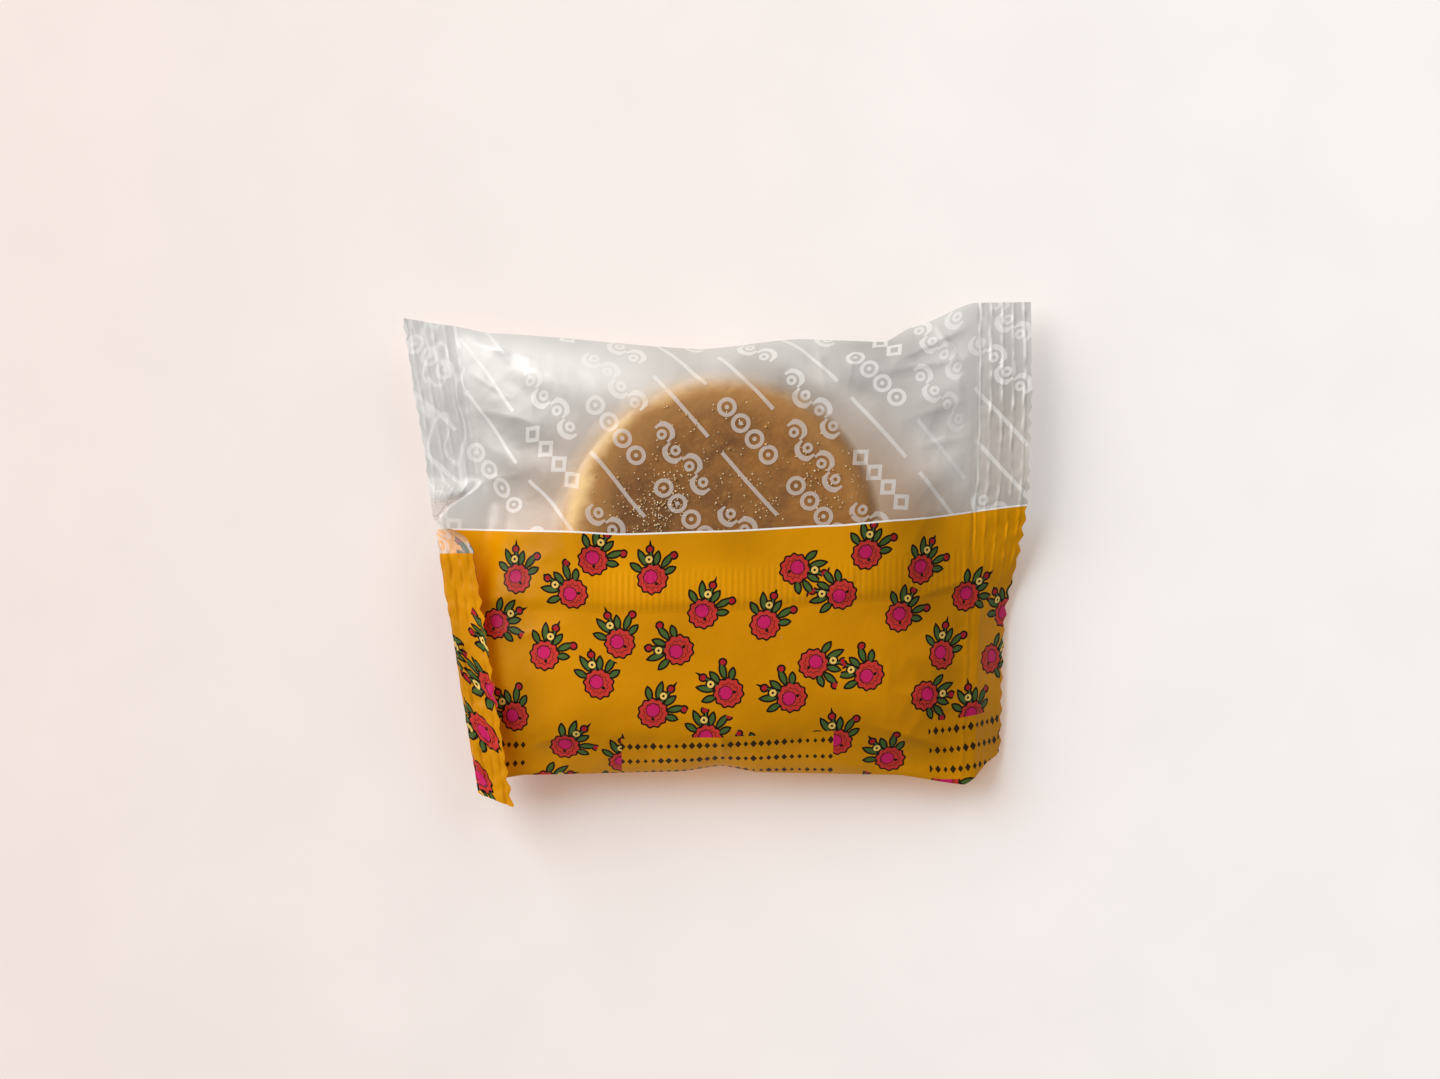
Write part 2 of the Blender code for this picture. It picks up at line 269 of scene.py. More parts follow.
# %% Creases finer than the solid has
# Each crease: from, to, how wide it spreads, and its height.
SHARP_CREASES = (
    ((-49.0, 38.0), (-10.0, 28.0), 2.4, 0.9),
    ((-49.5, 36.6), (-41.0, 37.8), 0.9, 0.5),
    ((-47.5, 39.6), (-43.0, 33.0), 0.8, 0.6),
    ((-40.0, 38.2), (-36.0, 32.5), 0.8, 0.7),
    ((37.0, 41.5), (42.5, 31.5), 0.5, 0.6),
    ((33.0, 39.0), (45.0, 40.5), 0.7, 0.4),
    ((-47.0, 37.5), (-30.0, 33.0), 0.7, 0.55),
    ((-46.5, 33.0), (-33.0, 25.0), 0.7, 0.4),
    ((-44.0, 25.0), (-30.0, 22.0), 0.6, 0.3),
    ((-45.0, 12.0), (-33.0, 13.5), 0.6, 0.3),
    ((45.0, 40.0), (30.0, 33.0), 0.8, 0.6),
    ((45.0, 34.0), (27.0, 31.0), 0.7, 0.4),
    ((44.5, 27.0), (30.0, 22.0), 0.7, 0.4),
    ((44.0, 20.0), (33.0, 18.0), 0.6, 0.3),
    ((17.0, 37.0), (19.0, 26.0), 0.9, 0.5),
    ((24.0, 36.6), (22.0, 27.0), 0.7, 0.35),
    ((43.5, -5.0), (31.0, -9.0), 0.7, 0.4),
    ((43.0, -28.0), (30.0, -24.0), 0.8, 0.5),
    ((42.5, -35.0), (26.0, -30.0), 0.8, 0.5),
    ((1.0, -37.6), (0.0, -29.0), 1.2, 0.7),
    ((-36.0, -15.0), (-24.0, -12.0), 0.8, 0.35),
    ((-33.0, -34.0), (-22.0, -30.0), 0.8, 0.4),
)


def sharp(x, y, start, end, width, height):
    """A crease like a pinched fold: a cusp across, fading towards both ends."""
    t, off = by_line(x, y, start, end)
    return height * np.exp(-np.abs(off) / width) * np.sin(math.pi * t)


def crinkle(x, y, seed):
    """Facets of crumpled film: the valleys of folded noise meet in sharp lines."""
    bent_x = x + 2.5 * wave(x, y, 14.0, seed + 1.0)
    bent_y = y + 2.5 * wave(x, y, 14.0, seed + 2.0)
    broad = np.abs(wave(bent_x, bent_y, 11.0, seed + 3.0))
    small = np.abs(wave(bent_x, bent_y, 5.0, seed + 4.0))
    return 0.34 * broad + 0.12 * small


def upper_film(x, y):
    """Height of the film on the side that faces up."""
    open_by = swell(x, y)
    free = np.minimum(1.0, 4.0 * open_by)
    near_free = np.minimum(1.0, 12.0 * open_by)
    ruffle = sum(crease(x, y, *fold) for fold in FOLDS) + 0.5 * wave(x, y, 17.0, 5.0)
    fine = sum(sharp(x, y, *fold) for fold in SHARP_CREASES) - crinkle(x, y, 40.0)
    pillow = middle(x, y) + half_gap(x, y) + PILLOW_TOP * open_by
    pillow = pillow + ruffle * free + fine * near_free
    dome = COOKIE_DOME * (np.hypot(x, y) / COOKIE_FACE_RADIUS) ** 2
    roof = COOKIE_HEIGHT + FILM_CLEAR - dome + 0.05 * wave(x, y, 9.0, 7.0)
    over = np.maximum(0.0, (pillow - roof + CONTACT_BLEND) / CONTACT_BLEND)
    pillow = np.where(over > 0.0, roof - CONTACT_BLEND * np.exp(-over), pillow)
    return np.maximum(pillow, cookie_top(x, y) + FILM_TOUCH)


def lower_film(x, y):
    """Height of the film underneath: flat under the cookie, and rising to the seals."""
    open_by = swell(x, y)
    wrinkle = 0.4 * wave(x, y, 15.0, 9.0) + crinkle(x, y, 60.0) * 0.7
    return np.maximum(0.0, middle(x, y) - half_gap(x, y) - PILLOW_BOTTOM * open_by
                      + wrinkle * np.minimum(1.0, 4.0 * open_by))


# %% [markdown]
# ## Seals
# Hot jaws press the two sheets together with ribs that run along each end, and a knife with
# teeth cuts the film to a zigzag. The lower half of the left seal was folded up and over onto
# the pack, which shows the other side's print there. A bend is worked out as a real one is:
# the strip runs round an arc, then on in a straight line.

# %% Seals in space
FILM_GAP = 0.06
FIRST_RIB = 0.7
RIB_PITCH = 1.95
RIB_HEIGHT = 0.17
RIB_HALF = 0.3
WRINKLE = 0.11
LEFT_PRESS = 0.6
FLAP_PRESS = 2.2
TOOTH_PITCH = 2.8
TOOTH = 0.42
TOOTH_DEPTH = 1.2
FIN_THICKNESS = 0.4
FIN_BASE_SOFT = 2.2
FIN_RIB_PITCH = 1.05
FIN_RIB_HEIGHT = 0.075
FIN_IN_SEAL = 0.3


def nearest_rib(out, y):
    """Distance to the nearest crimp rib, and how hard the jaws pressed it there."""
    wander = out - FIRST_RIB + 0.18 * wave(out, y, 5.0, 23.0)
    off = (np.abs((wander / RIB_PITCH) % 1.0 - 0.5) - 0.5) * RIB_PITCH
    return off, np.maximum(0.0, 0.6 + 0.8 * wave(out * 3.0, y, 2.6, 21.0))


def rib(out, y, width):
    """Crimp ribs along an end seal: narrow ridges, pressed unevenly, among small wrinkles."""
    fade = smooth(out, 0.0, 0.5) * smooth(out, width, width - 0.8)
    off, press = nearest_rib(out, y)
    wrinkle = WRINKLE * np.abs(wave(out, y, 2.8, 25.0))
    return fade * (RIB_HEIGHT * press * np.exp(-(off / RIB_HALF) ** 2) - wrinkle)


def teeth(y, folded):
    """Zigzag of the cut edge: pulled nearly straight at the left and at the upper right."""
    saw = 2.0 * np.abs((y / TOOTH_PITCH) % 1.0 - 0.5) - 0.5
    uneven = 0.75 + 0.6 * wave(y, 0.0 * y + 50.0 * SIDE, 7.0, 13.0)
    pulled = np.where(SIDE < 0, 0.35 + 0.65 * folded, smooth(y, 38.0, 18.0))
    return 2.0 * TOOTH * saw * uneven * pulled + 0.16 * wave(y, 0.0 * y, 5.0, 11.0)


def bent(out, lift, angle, radius):
    """Carry points of a flat strip round a bend: out from the bend's line, lift off the strip."""
    side = np.where(angle < 0.0, -1.0, 1.0)
    turn = np.minimum(np.abs(angle), np.maximum(0.0, out) / radius)
    rest = out - radius * turn
    run = radius * np.sin(turn) + rest * np.cos(turn)
    rise = radius * (1.0 - np.cos(turn)) + rest * np.sin(turn)
    return run - side * lift * np.sin(turn), side * rise + lift * np.cos(turn)


def fin_lift(x, section, share):
    """Height of the fin's face above the film it lies on: crimped low down, slack above."""
    up = share if section == 1 else 1.0
    crimped = smooth(up, 0.02, 0.08) * smooth(up, 0.56, 0.48) * smooth(x, -32.0, -14.0)
    press = 0.75 + 0.5 * wave(x, 0.0 * x + 9.0 * up, 7.0, 33.0)
    ribs = FIN_RIB_HEIGHT * np.cos(2.0 * math.pi * x / FIN_RIB_PITCH) * crimped * press
    slack = 0.3 * up * (1.0 + wave(x, 0.0 * x + 6.0 * up, 10.0, 31.0)) * smooth(up, 0.4, 1.0)
    ease = smooth(x, -46.0, -38.0) * smooth(x, 44.0, 37.0)
    body = FIN_THICKNESS * smooth(up, 0.0, FIN_BASE_SOFT / FIN_WIDTH)
    return body + (0.25 * up + slack) * ease + ribs


print("left seal", LEFT_WIDTH, "mm, folded by", round(math.degrees(LEFT_ANGLE)), "degrees")

# %% [markdown]
# ## From shapes to sheets
# Each sheet is one grid: rows run along the tube and columns across it. A subdivided plane
# would spread its points evenly, but the crimp ribs need far finer steps than the tube does.
# So the seals' columns stand 0.16 mm apart, and the tube's columns share out its length.

# %% Columns
SEAL_STEP = 0.16
TUBE_COLUMNS = 300


def grid_columns():
    """Side and distance of every column: left seal, tube, right seal."""
    left_count, right_count = round(LEFT_WIDTH / SEAL_STEP), round(RIGHT_WIDTH / SEAL_STEP)
    seal = [(-1, LEFT_WIDTH * (1.0 - i / left_count)) for i in range(left_count)]
    tube = [(0, i / TUBE_COLUMNS) for i in range(TUBE_COLUMNS + 1)]
    far = [(1, RIGHT_WIDTH * (i + 1) / right_count) for i in range(right_count)]
    side, out = np.array(seal + tube + far).T
    return side, out


SIDE, OUT = grid_columns()
print("columns", len(OUT), "of which in the seals", int((SIDE != 0).sum()))

# %% [markdown]
# ## Seals along one row
# A seal is two films welded into one stiff strip. Its columns are laid flat first, pressed with
# ribs and cut with teeth, and only then carried round the fold or the droop. Bending the
# finished strip keeps the ribs in line round the fold, as bending the real one does.

# %% One row's seals
def seal_points(x, y, inner, lift, under):
    """A row's end seals: pressed, cut and bent. The tube's columns come along, and go unused."""
    width = np.where(SIDE < 0, LEFT_WIDTH, RIGHT_WIDTH)
    angle = np.where(SIDE < 0, left_fold(y), right_bend(y))
    radius = np.where(SIDE < 0, LEFT_RADIUS, RIGHT_RADIUS)
    edge_on = smooth(OUT, 0.0, 1.0)
    half = FILM_GAP / 2.0 * edge_on + half_gap(x, y) * (1.0 - edge_on)
    height = -half if under else half + FIN_IN_SEAL * lift
    kept = np.where(SIDE < 0, left_gather(y), 1.0)
    folded = left_fold(y) / LEFT_ANGLE
    left_press = (LEFT_PRESS + (FLAP_PRESS - LEFT_PRESS) * folded) * kept ** 2
    press = np.where(SIDE < 0, left_press, np.cos(angle) ** 2)
    height = height + rib(OUT, y, width) * press
    tooth = teeth(y, folded) * smooth(OUT, width - TOOTH_DEPTH, width)
    run, rise = bent((OUT + tooth) * kept, height, angle, radius)
    turned = folded * smooth(y, 0.0, BOTTOM_SIDE[0][1])
    skewed = y - np.where(SIDE < 0, LEFT_SKEW * turned * OUT / width, 0.0)
    reach = inner + np.where(SIDE < 0, -run, run)
    return np.column_stack((reach, skewed, middle(inner, y) + rise))


# %% [markdown]
# ## Marks for the finishes
# A shader can't measure how far the film is from the cookie, and a map painted by hand would
# have to be painted again after each change of shape. So every point carries four numbers. The
# gap is how far the film stands off the cookie, which sets how milky it looks. The glow mark is
# painted light: near the amber film, and at the right, it warms the grey for the light that came
# through the amber film. The margin is the way to the fin's cut edge. The tone is mostly painted
# light and shade: lighter patches that lift slopes facing away from the lamp and paint glare, and
# darker patches of painted shade, such as the flap's shadow. It also holds an uneven tone, and
# pale lines on the seals, most on the ribs at the right, where the jaws pressed hardest, and
# along small crumples at the left: partly stress whitening, partly painted highlights.

# %% One row's marks
MARKS = ("gap", "painted_glow", "margin", "tone")
SEAL_GAP = 3.2
FOLDED_GAP = 1.2
RIM_GAP = 3.6
CONTACT_CENTRE = (1.0, 1.6)
# Painted light: a warm glow near the amber film and at the right, for light that came through it.
GLOW_CENTRE = (3.5, -22.0)
GLOW_REACH = (58.0, 37.0)
EAST_GLOW = 0.22
# Pale lines on the seals: partly stress whitening, partly painted highlights of the ridges.
STRESS_AND_GLINT = 0.4
STRESS_AND_GLINT_HALF = 0.2
RIDGE_STRESS_AND_GLINT = 2.2
STRESS_AND_GLINT_EDGE = (-3.0, 3.0)
# Each patch, painted light where the tone rises and painted shade where it falls: from, to, half
# its width, and the change of tone.
CLEAR_PAINTED_LIGHT_AND_SHADE = (
    # On the clear film: painted glare at the upper left and near the top, painted light on the twist and
    # on slopes that face away from the lamp, and painted shade left of the cookie, at the upper right
    # and on the right seal.
    ((-54.0, 39.0), (-8.0, 27.5), 3.6, 0.4),
    ((-29.0, 30.0), (-35.0, 4.0), 8.0, -0.42),
    ((-54.0, 14.0), (-50.0, -2.0), 4.0, 0.5),
    ((-47.0, 24.0), (-45.0, 4.0), 5.0, 0.08),
    ((10.0, 34.0), (28.0, 24.0), 2.0, 0.4),
    ((2.0, 35.0), (42.0, 3.0), 6.0, -0.32),
    ((2.0, 30.0), (42.0, 27.0), 4.5, -0.35),
    ((30.0, 26.0), (44.0, 2.0), 6.0, 0.25),
    ((43.0, 38.0), (41.0, 2.0), 3.0, 0.3),
    ((50.0, 44.0), (49.0, 0.0), 5.0, -0.3),
    ((18.0, 36.0), (38.0, 36.0), 3.0, -0.35),
)
# On the amber film: painted shade along the fin's top, over the flap, in the flap's shadow and at the
# right, and painted light on the strip low down, which faces away from the lamp.
AMBER_PAINTED_LIGHT_AND_SHADE = (
    ((-58.0, 1.0), (52.0, 3.0), 5.0, -0.17),
    ((-37.0, 2.0), (-33.0, -38.0), 4.0, -0.28),
    ((-49.0, 4.0), (-43.0, -44.0), 5.0, -0.18),
    ((36.0, 8.0), (36.0, -44.0), 9.0, -0.14),
    ((-42.0, -37.0), (36.0, -37.0), 4.5, 0.42),
)


def cookie_gap(x, y, film):
    """Room between the film and what lies behind it, which is two more films in the seals."""
    away = np.hypot(x - COOKIE_CENTRE[0], y - COOKIE_CENTRE[1])
    beside = film - COOKIE_SHOULDER + 0.8 * (away - COOKIE_RADIUS)
    inside = np.where(away < COOKIE_RADIUS, film - cookie_top(x, y), beside)
    touch = np.hypot(x - CONTACT_CENTRE[0], y - CONTACT_CENTRE[1])
    inside = np.maximum(inside, RIM_GAP * smooth(touch, COOKIE_RADIUS - 4.0, COOKIE_RADIUS + 1.5))
    doubled = SEAL_GAP + (FOLDED_GAP - SEAL_GAP) * smooth(left_fold(y), 0.1, 1.0) * (SIDE < 0)
    return np.where(SIDE == 0, inside, doubled)


def painted_light_and_tone(x, y):
    """Tone of the film: 0.5 as a rule, with painted light and shade, uneven tone and seal lines."""
    # Patches of painted light and shade, and an uneven tone that differs at random.
    tone = 0.5 + sum(crease(x, y, *patch) for patch in CLEAR_PAINTED_LIGHT_AND_SHADE + AMBER_PAINTED_LIGHT_AND_SHADE)
    tone = tone + 0.1 * wave(x, y, 12.0, 71.0)
    # Pale lines along the seal ribs and the left seal's crumples: partly stress whitening, partly
    # painted highlights of the ridges.
    off, hard = nearest_rib(OUT, y)
    dashes = hard * smooth(wave(OUT * 3.0, y, 1.8, 29.0), -0.3, 0.6)
    first = smooth(OUT, RIB_PITCH, 0.0)
    ridges = RIDGE_STRESS_AND_GLINT * (dashes + first) * np.exp(-(off / STRESS_AND_GLINT_HALF) ** 2)
    crumpled = np.exp(-(wave(x, 0.5 * y, 3.0, 27.0) / 0.1) ** 2)
    stress_and_glint = np.where(SIDE < 0, crumpled, ridges)
    return tone + STRESS_AND_GLINT * stress_and_glint * smooth(y, *STRESS_AND_GLINT_EDGE) * (SIDE != 0)


def row_marks(x, y, film, margin):
    """The four marks of a row, side by side."""
    glow = np.hypot(x - GLOW_CENTRE[0], y - GLOW_CENTRE[1])
    east = EAST_GLOW * smooth(x, 20.0, 44.0) * smooth(y, 38.0, 14.0)
    painted_glow = np.maximum(smooth(glow, *GLOW_REACH), east)
    return np.column_stack((cookie_gap(x, y, film), painted_glow, margin + 0.0 * x, painted_light_and_tone(x, y)))


# %% [markdown]
# ## The sheets
# Rows are stacked into five sheets: the back below the fin, the fin, the back that the fin
# lies on, the back above it, and the whole front. A row bends where the outline does, so its
# height and its ends are found together, in three rounds that come closer each time.

# %% Sheets
ROW_STEP = 0.45
NO_MARGIN = 99.0


def sheet_row(section, share, layer):
    """One row of a sheet as (points, marks)."""
    y = row_height(section, share, 0.0 * OUT)
    for _ in range(3):
        left, right = left_inner(y), right_inner(y)
        in_seal = np.where(SIDE < 0, left - OUT, right + OUT)
        x = np.where(SIDE == 0, left + (right - left) * OUT, in_seal)
        y = row_height(section, share, x)
    lift = fin_lift(x, section, share) if layer == "fin" else 0.0 * x
    film = lower_film(x, y) if layer == "under" else upper_film(x, y) + lift
    inner = np.where(SIDE < 0, left, right)
    seal = seal_points(x, y, inner, lift, layer == "under")
    points = np.where((SIDE == 0)[:, None], np.column_stack((x, y, film)), seal)
    margin = (1.0 - share) * FIN_WIDTH if layer == "fin" else NO_MARGIN
    return points, row_marks(x, y, film, margin)


def make_sheet(rows, layer):
    """Stack rows, given as (section, share), into arrays of points and marks."""
    parts = [sheet_row(section, share, layer) for section, share in rows]
    return [np.array([part[i] for part in parts]) for i in range(2)]


def shares(length):
    """Even steps from 0 to 1 for a stretch of film of this length."""
    count = round(length / ROW_STEP)
    return [i / count for i in range(count + 1)]


lower_rows = [(0, t) for t in shares(29.0)]
fin_rows = [(1, t) for t in shares(FIN_WIDTH)]
upper_rows = [(2, t) for t in shares(33.0)]
print("rows", len(lower_rows), len(fin_rows), len(upper_rows), "columns", len(OUT))

back_lower = make_sheet(lower_rows, "back")
back_fin = make_sheet(fin_rows, "fin")
back_under_fin = make_sheet(fin_rows, "back")
back_upper = make_sheet(upper_rows, "back")
front = make_sheet(lower_rows + fin_rows[1:] + upper_rows[1:], "under")

# %% [markdown]
# ## The place on the reel
# The film was printed flat, so the print is drawn in reel millimetres and bends with the film.
# A plan view would stretch it on the slopes. Lengths are measured on the film itself: u along
# the tube from its middle, and v across it from the fin's cut edge, down the back, round the
# lower fold and up the front. The clear half is measured from the fin over the upper fold.

# %% Reel millimetres
REEL_EDGE = 3.6
COARSE = 12


def reel_place(points, row, v, sign):
    """Reel u and v of a grid: v is known at one row, and grows (1) or falls (-1) with the rows."""
    up = np.hypot(np.diff(points[..., 1], axis=0), np.diff(points[..., 2], axis=0))
    up = np.vstack((np.zeros(len(OUT)), np.cumsum(up, axis=0)))
    tube = np.flatnonzero(SIDE == 0)
    coarse = tube[::COARSE]
    u = np.empty(points.shape[:2])
    for i, line in enumerate(points):
        step = np.hypot(np.diff(line[coarse, 0]), np.diff(line[coarse, 2]))
        run = np.interp(tube, coarse, np.append(0.0, np.cumsum(step)))
        centre = len(tube) // 2
        u[i, tube] = run - run[centre] + line[tube[centre], 0]
        u[i, SIDE < 0] = u[i, tube[0]] - OUT[SIDE < 0]
        u[i, SIDE > 0] = u[i, tube[-1]] + OUT[SIDE > 0]
    return np.stack((u, v + sign * (up - up[row])), axis=-1)


lower_place = reel_place(back_lower[0], -1, REEL_EDGE - FIN_WIDTH, 1.0)
fin_place = reel_place(back_fin[0], 0, REEL_EDGE - FIN_WIDTH, 1.0)
under_fin_place = reel_place(back_under_fin[0], -1, REEL_EDGE, 1.0)
upper_place = reel_place(back_upper[0], 0, REEL_EDGE, 1.0)
front_printed_place = reel_place(front[0], 0, lower_place[0, :, 1], -1.0)
front_clear_place = reel_place(front[0], -1, upper_place[-1, :, 1], -1.0)
print("lower fold at v", lower_place[0, ::90, 1].round(1))
print("upper fold at v", upper_place[-1, ::90, 1].round(1))

# %% [markdown]
# ## Meshes
# The fine sheets are put where the solid is: the middle of their box goes over the middle of
# the solid's box. The shift is found once, from the outlines of the sheets, and kept.

# %% Meshes from grids
everything = np.vstack([s[0].reshape(-1, 3) for s in (back_lower, back_fin, back_upper, front)])
box_middle = (everything.min(axis=0) + everything.max(axis=0)) / 2.0
SHIFT = np.array([(cad_low.x + cad_high.x) / 2.0 / MM - box_middle[0],
                  (cad_low.y + cad_high.y) / 2.0 / MM - box_middle[1],
                  -everything[:, 2].min()])
print("shift", SHIFT.round(2), "fine box", (everything.max(axis=0) - everything.min(axis=0)).round(1))


def new_piece(name, mesh):
    """Put a mesh in the scene, as a piece that rides on the pack's one body."""
    piece = bpy.data.objects.new(name, mesh)
    bpy.context.scene.collection.objects.link(piece)
    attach(piece, "root")
    return piece


def grid_mesh(name, sheets, facing_up=True):
    """One mesh from grids of points, with the reel millimetres as a UV map and the marks."""
    points, flats, marks, faces, start = [], [], [], [], 0
    for grid, mark, flat in sheets:
        size = grid.shape[0] * grid.shape[1]
        index = start + np.arange(size).reshape(grid.shape[:2])
        quads = np.stack((index[:-1, :-1], index[:-1, 1:], index[1:, 1:], index[1:, :-1]), axis=-1)
        quads = quads.reshape(-1, 4)
        faces.append(quads if facing_up else quads[:, ::-1])
        points.append(grid.reshape(-1, 3))
        flats.append(flat.reshape(-1, 2))
        marks.append(mark.reshape(-1, len(MARKS)))
        start += size
    points, flats, faces, marks = [np.vstack(part) for part in (points, flats, faces, marks)]
    mesh = bpy.data.meshes.new(name)
    mesh.from_pydata(((points + SHIFT) * MM).tolist(), [], faces.tolist())
    flat_map = mesh.uv_layers.new(name="reel_mm")
    flat_map.data.foreach_set("uv", flats[faces.ravel()].ravel().astype(np.float32))
    for i, mark in enumerate(MARKS):
        values = marks[:, i].astype(np.float32)
        mesh.attributes.new(mark, "FLOAT", "POINT").data.foreach_set("value", values)
    mesh.shade_smooth()
    print(name, len(points), "points")
    return new_piece(name, mesh)


# %% [markdown]
# ## Cutting the sheets at the print's edge
# The film is one web, printed yellow over part of its width and left clear over the rest.
# On the back the yellow ends at the fin's free edge, and the clear film starts under the fin.
# On the front it ends straight across, a little above the middle. Splitting each sheet there
# lets the clear part and the printed part each have its own finish.

# %% Film pieces
PRINT_LINE = -1.3
cut = int(np.argmax(front[0][:, len(OUT) // 2, 1] >= PRINT_LINE))
front_low = [a[:cut + 1] for a in (*front, front_printed_place)]
front_high = [a[cut:] for a in (*front, front_clear_place)]
back_low = [(*back_lower, lower_place), (*back_fin, fin_place)]
back_high = [(*back_under_fin, under_fin_place), (*back_upper, upper_place)]
film_back_printed = grid_mesh("film_back_printed", back_low)
film_back_clear = grid_mesh("film_back_clear", back_high)
film_front_printed = grid_mesh("film_front_printed", [front_low], facing_up=False)
film_front_clear = grid_mesh("film_front_clear", [front_high], facing_up=False)
for piece in (film_back_printed, film_back_clear, film_front_printed, film_front_clear):
    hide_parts(PACK)

# %% [markdown]
# ## The cookie
# A maamoul is a short semolina dough, pressed in a round mould and baked pale with a browned
# face. It could be a turned profile alone, but baked dough is never even: the edge wavers, and
# the face is sandy, with small pits. So the profile is turned, then moved by noise at three
# sizes, and pitted by a fourth.

# %% Cookie mesh
RINGS = 96
SPOKES = 420
COOKIE_BASE = 0.35
COOKIE_CORNER = 4.2
PROFILE_STOPS = (0.25, 0.4, 0.47)
RIM_SHARE = 0.3


def cookie_profile(t):
    """Radius and height at share t of the way from the base's middle to the face's middle."""
    base_end, corner_end, side_end = PROFILE_STOPS
    base, corner = COOKIE_RADIUS - COOKIE_CORNER, COOKIE_CORNER
    if t < base_end:
        return base * t / base_end, COOKIE_BASE
    if t < corner_end:
        turn = (t - base_end) / (corner_end - base_end) * math.pi / 2.0
        return base + corner * math.sin(turn), COOKIE_BASE + corner * (1.0 - math.cos(turn))
    just_inside = COOKIE_RADIUS - 1e-3
    if t < side_end:
        up = (t - corner_end) / (side_end - corner_end)
        low = COOKIE_BASE + corner
        top = float(cookie_top(COOKIE_CENTRE[0] + just_inside, COOKIE_CENTRE[1]))
        return COOKIE_RADIUS, low + (top - low) * up
    inward = (t - side_end) / (1.0 - side_end)
    rim = min(1.0, inward / RIM_SHARE)
    face = COOKIE_FACE_RADIUS
    radius = face + (COOKIE_RADIUS - face) * math.cos(rim * math.pi / 2.0)
    radius = radius if rim < 1.0 else face * (1.0 - inward) / (1.0 - RIM_SHARE)
    return radius, float(cookie_top(COOKIE_CENTRE[0] + min(radius, just_inside), COOKIE_CENTRE[1]))


def dough_noise(point):
    """Relief of baked dough at one point, in mm: broad swells, crumbs and fine grit."""
    broad = 0.22 * noise.noise(point / 9.0)
    crumb = 0.09 * noise.noise(point / 1.6)
    grit = 0.045 * noise.noise(point / 0.7)
    pits = 0.22 * max(0.0, noise.noise(point / 2.4 + Vector((7.0, 3.0, 1.0))) - 0.28)
    return broad + crumb + grit - 2.0 * pits


def make_cookie():
    """Turn the profile round the cookie's middle, and roughen it."""
    points, faces = [], []
    for ring in range(RINGS + 1):
        radius, height = cookie_profile(ring / RINGS)
        for spoke in range(SPOKES):
            angle = 2.0 * math.pi * spoke / SPOKES
            east, north = math.cos(angle), math.sin(angle)
            wobble = 1.0 + 0.006 * noise.noise(Vector((2.0 * east, 2.0 * north, 5.0)))
            spot = Vector((radius * wobble * east, radius * wobble * north, height))
            outward = smooth(radius, COOKIE_FACE_RADIUS, COOKIE_RADIUS)
            bump = min(0.1, dough_noise(spot))
            direction = Vector((east * outward, north * outward, 1.0 - 0.7 * outward))
            if height < COOKIE_BASE + 1.0:
                direction.z = 0.0
            points.append(spot + direction * bump)
    for ring in range(RINGS):
        for spoke in range(SPOKES):
            a, b = ring * SPOKES + spoke, ring * SPOKES + (spoke + 1) % SPOKES
            faces.append((a, b, b + SPOKES, a + SPOKES))
    mesh = bpy.data.meshes.new("cookie")
    offset = Vector((COOKIE_CENTRE[0] + SHIFT[0], COOKIE_CENTRE[1] + SHIFT[1], SHIFT[2]))
    mesh.from_pydata([(p + offset) * MM for p in points], [], faces)
    mesh.shade_smooth()
    return new_piece("cookie", mesh)


cookie = make_cookie()
print("cookie", len(cookie.data.vertices), "points")

# %% [markdown]
# ## Sugar and crumbs
# Sugar rubs off the face and lies where the film lets it. The grains are 0.2 to 0.4 mm across
# and the crumbs up to 0.7 mm. Scattering them with a particle system would hide the meshes from
# anyone who uses the model, so each kind is one mesh made by a loop, with every grain a small
# rough solid that is turned and sized at random from a fixed seed.

# %% Grains
SUGAR_SIZE = (0.18, 0.42)
CRUMB_SIZE = (0.3, 0.7)
CRUMB_REACH = 25.0
SUGAR_REACH = 27.0
# Each patch of sugar: its middle, its spread, and how many grains fell there.
SUGAR_PATCHES = (((-12.0, 6.5), 7.0, 210), ((-8.0, 10.5), 5.0, 80), ((18.0, 13.0), 6.0, 80),
                 ((6.0, 7.0), 9.0, 90), ((-3.0, 18.0), 10.0, 60), ((0.0, -8.0), 12.0, 60))
GRAIN_CORNERS = ((1, 1, 1), (-1, -1, 1), (-1, 1, -1), (1, -1, -1),
                 (-1, -1, -1), (1, 1, -1), (1, -1, 1), (-1, 1, 1))
GRAIN_FACES = ((0, 7, 1, 6), (5, 3, 4, 2), (0, 6, 3, 5), (7, 2, 4, 1), (0, 5, 2, 7), (1, 4, 3, 6))


def grains(name, places, sizes, draw):
    """One mesh of many small solids, each standing on the cookie's face."""
    points, faces = [], []
    for (x, y), size in zip(places, sizes):
        start = len(points)
        turn = Vector(draw.normal(size=3)).to_track_quat("Z", "Y")
        ground = float(cookie_top(np.float64(x), np.float64(y)))
        centre = Vector((x, y, ground + 0.3 * size))
        for corner in GRAIN_CORNERS:
            stretch = Vector(draw.uniform(0.7, 1.2, 3))
            points.append(centre + turn @ (Vector(corner).normalized() * stretch) * size * 0.5)
        faces += [tuple(start + i for i in face) for face in GRAIN_FACES]
    mesh = bpy.data.meshes.new(name)
    mesh.from_pydata([(p + Vector(SHIFT)) * MM for p in points], [], faces)
    print(name, len(places), "grains")
    return new_piece(name, mesh)


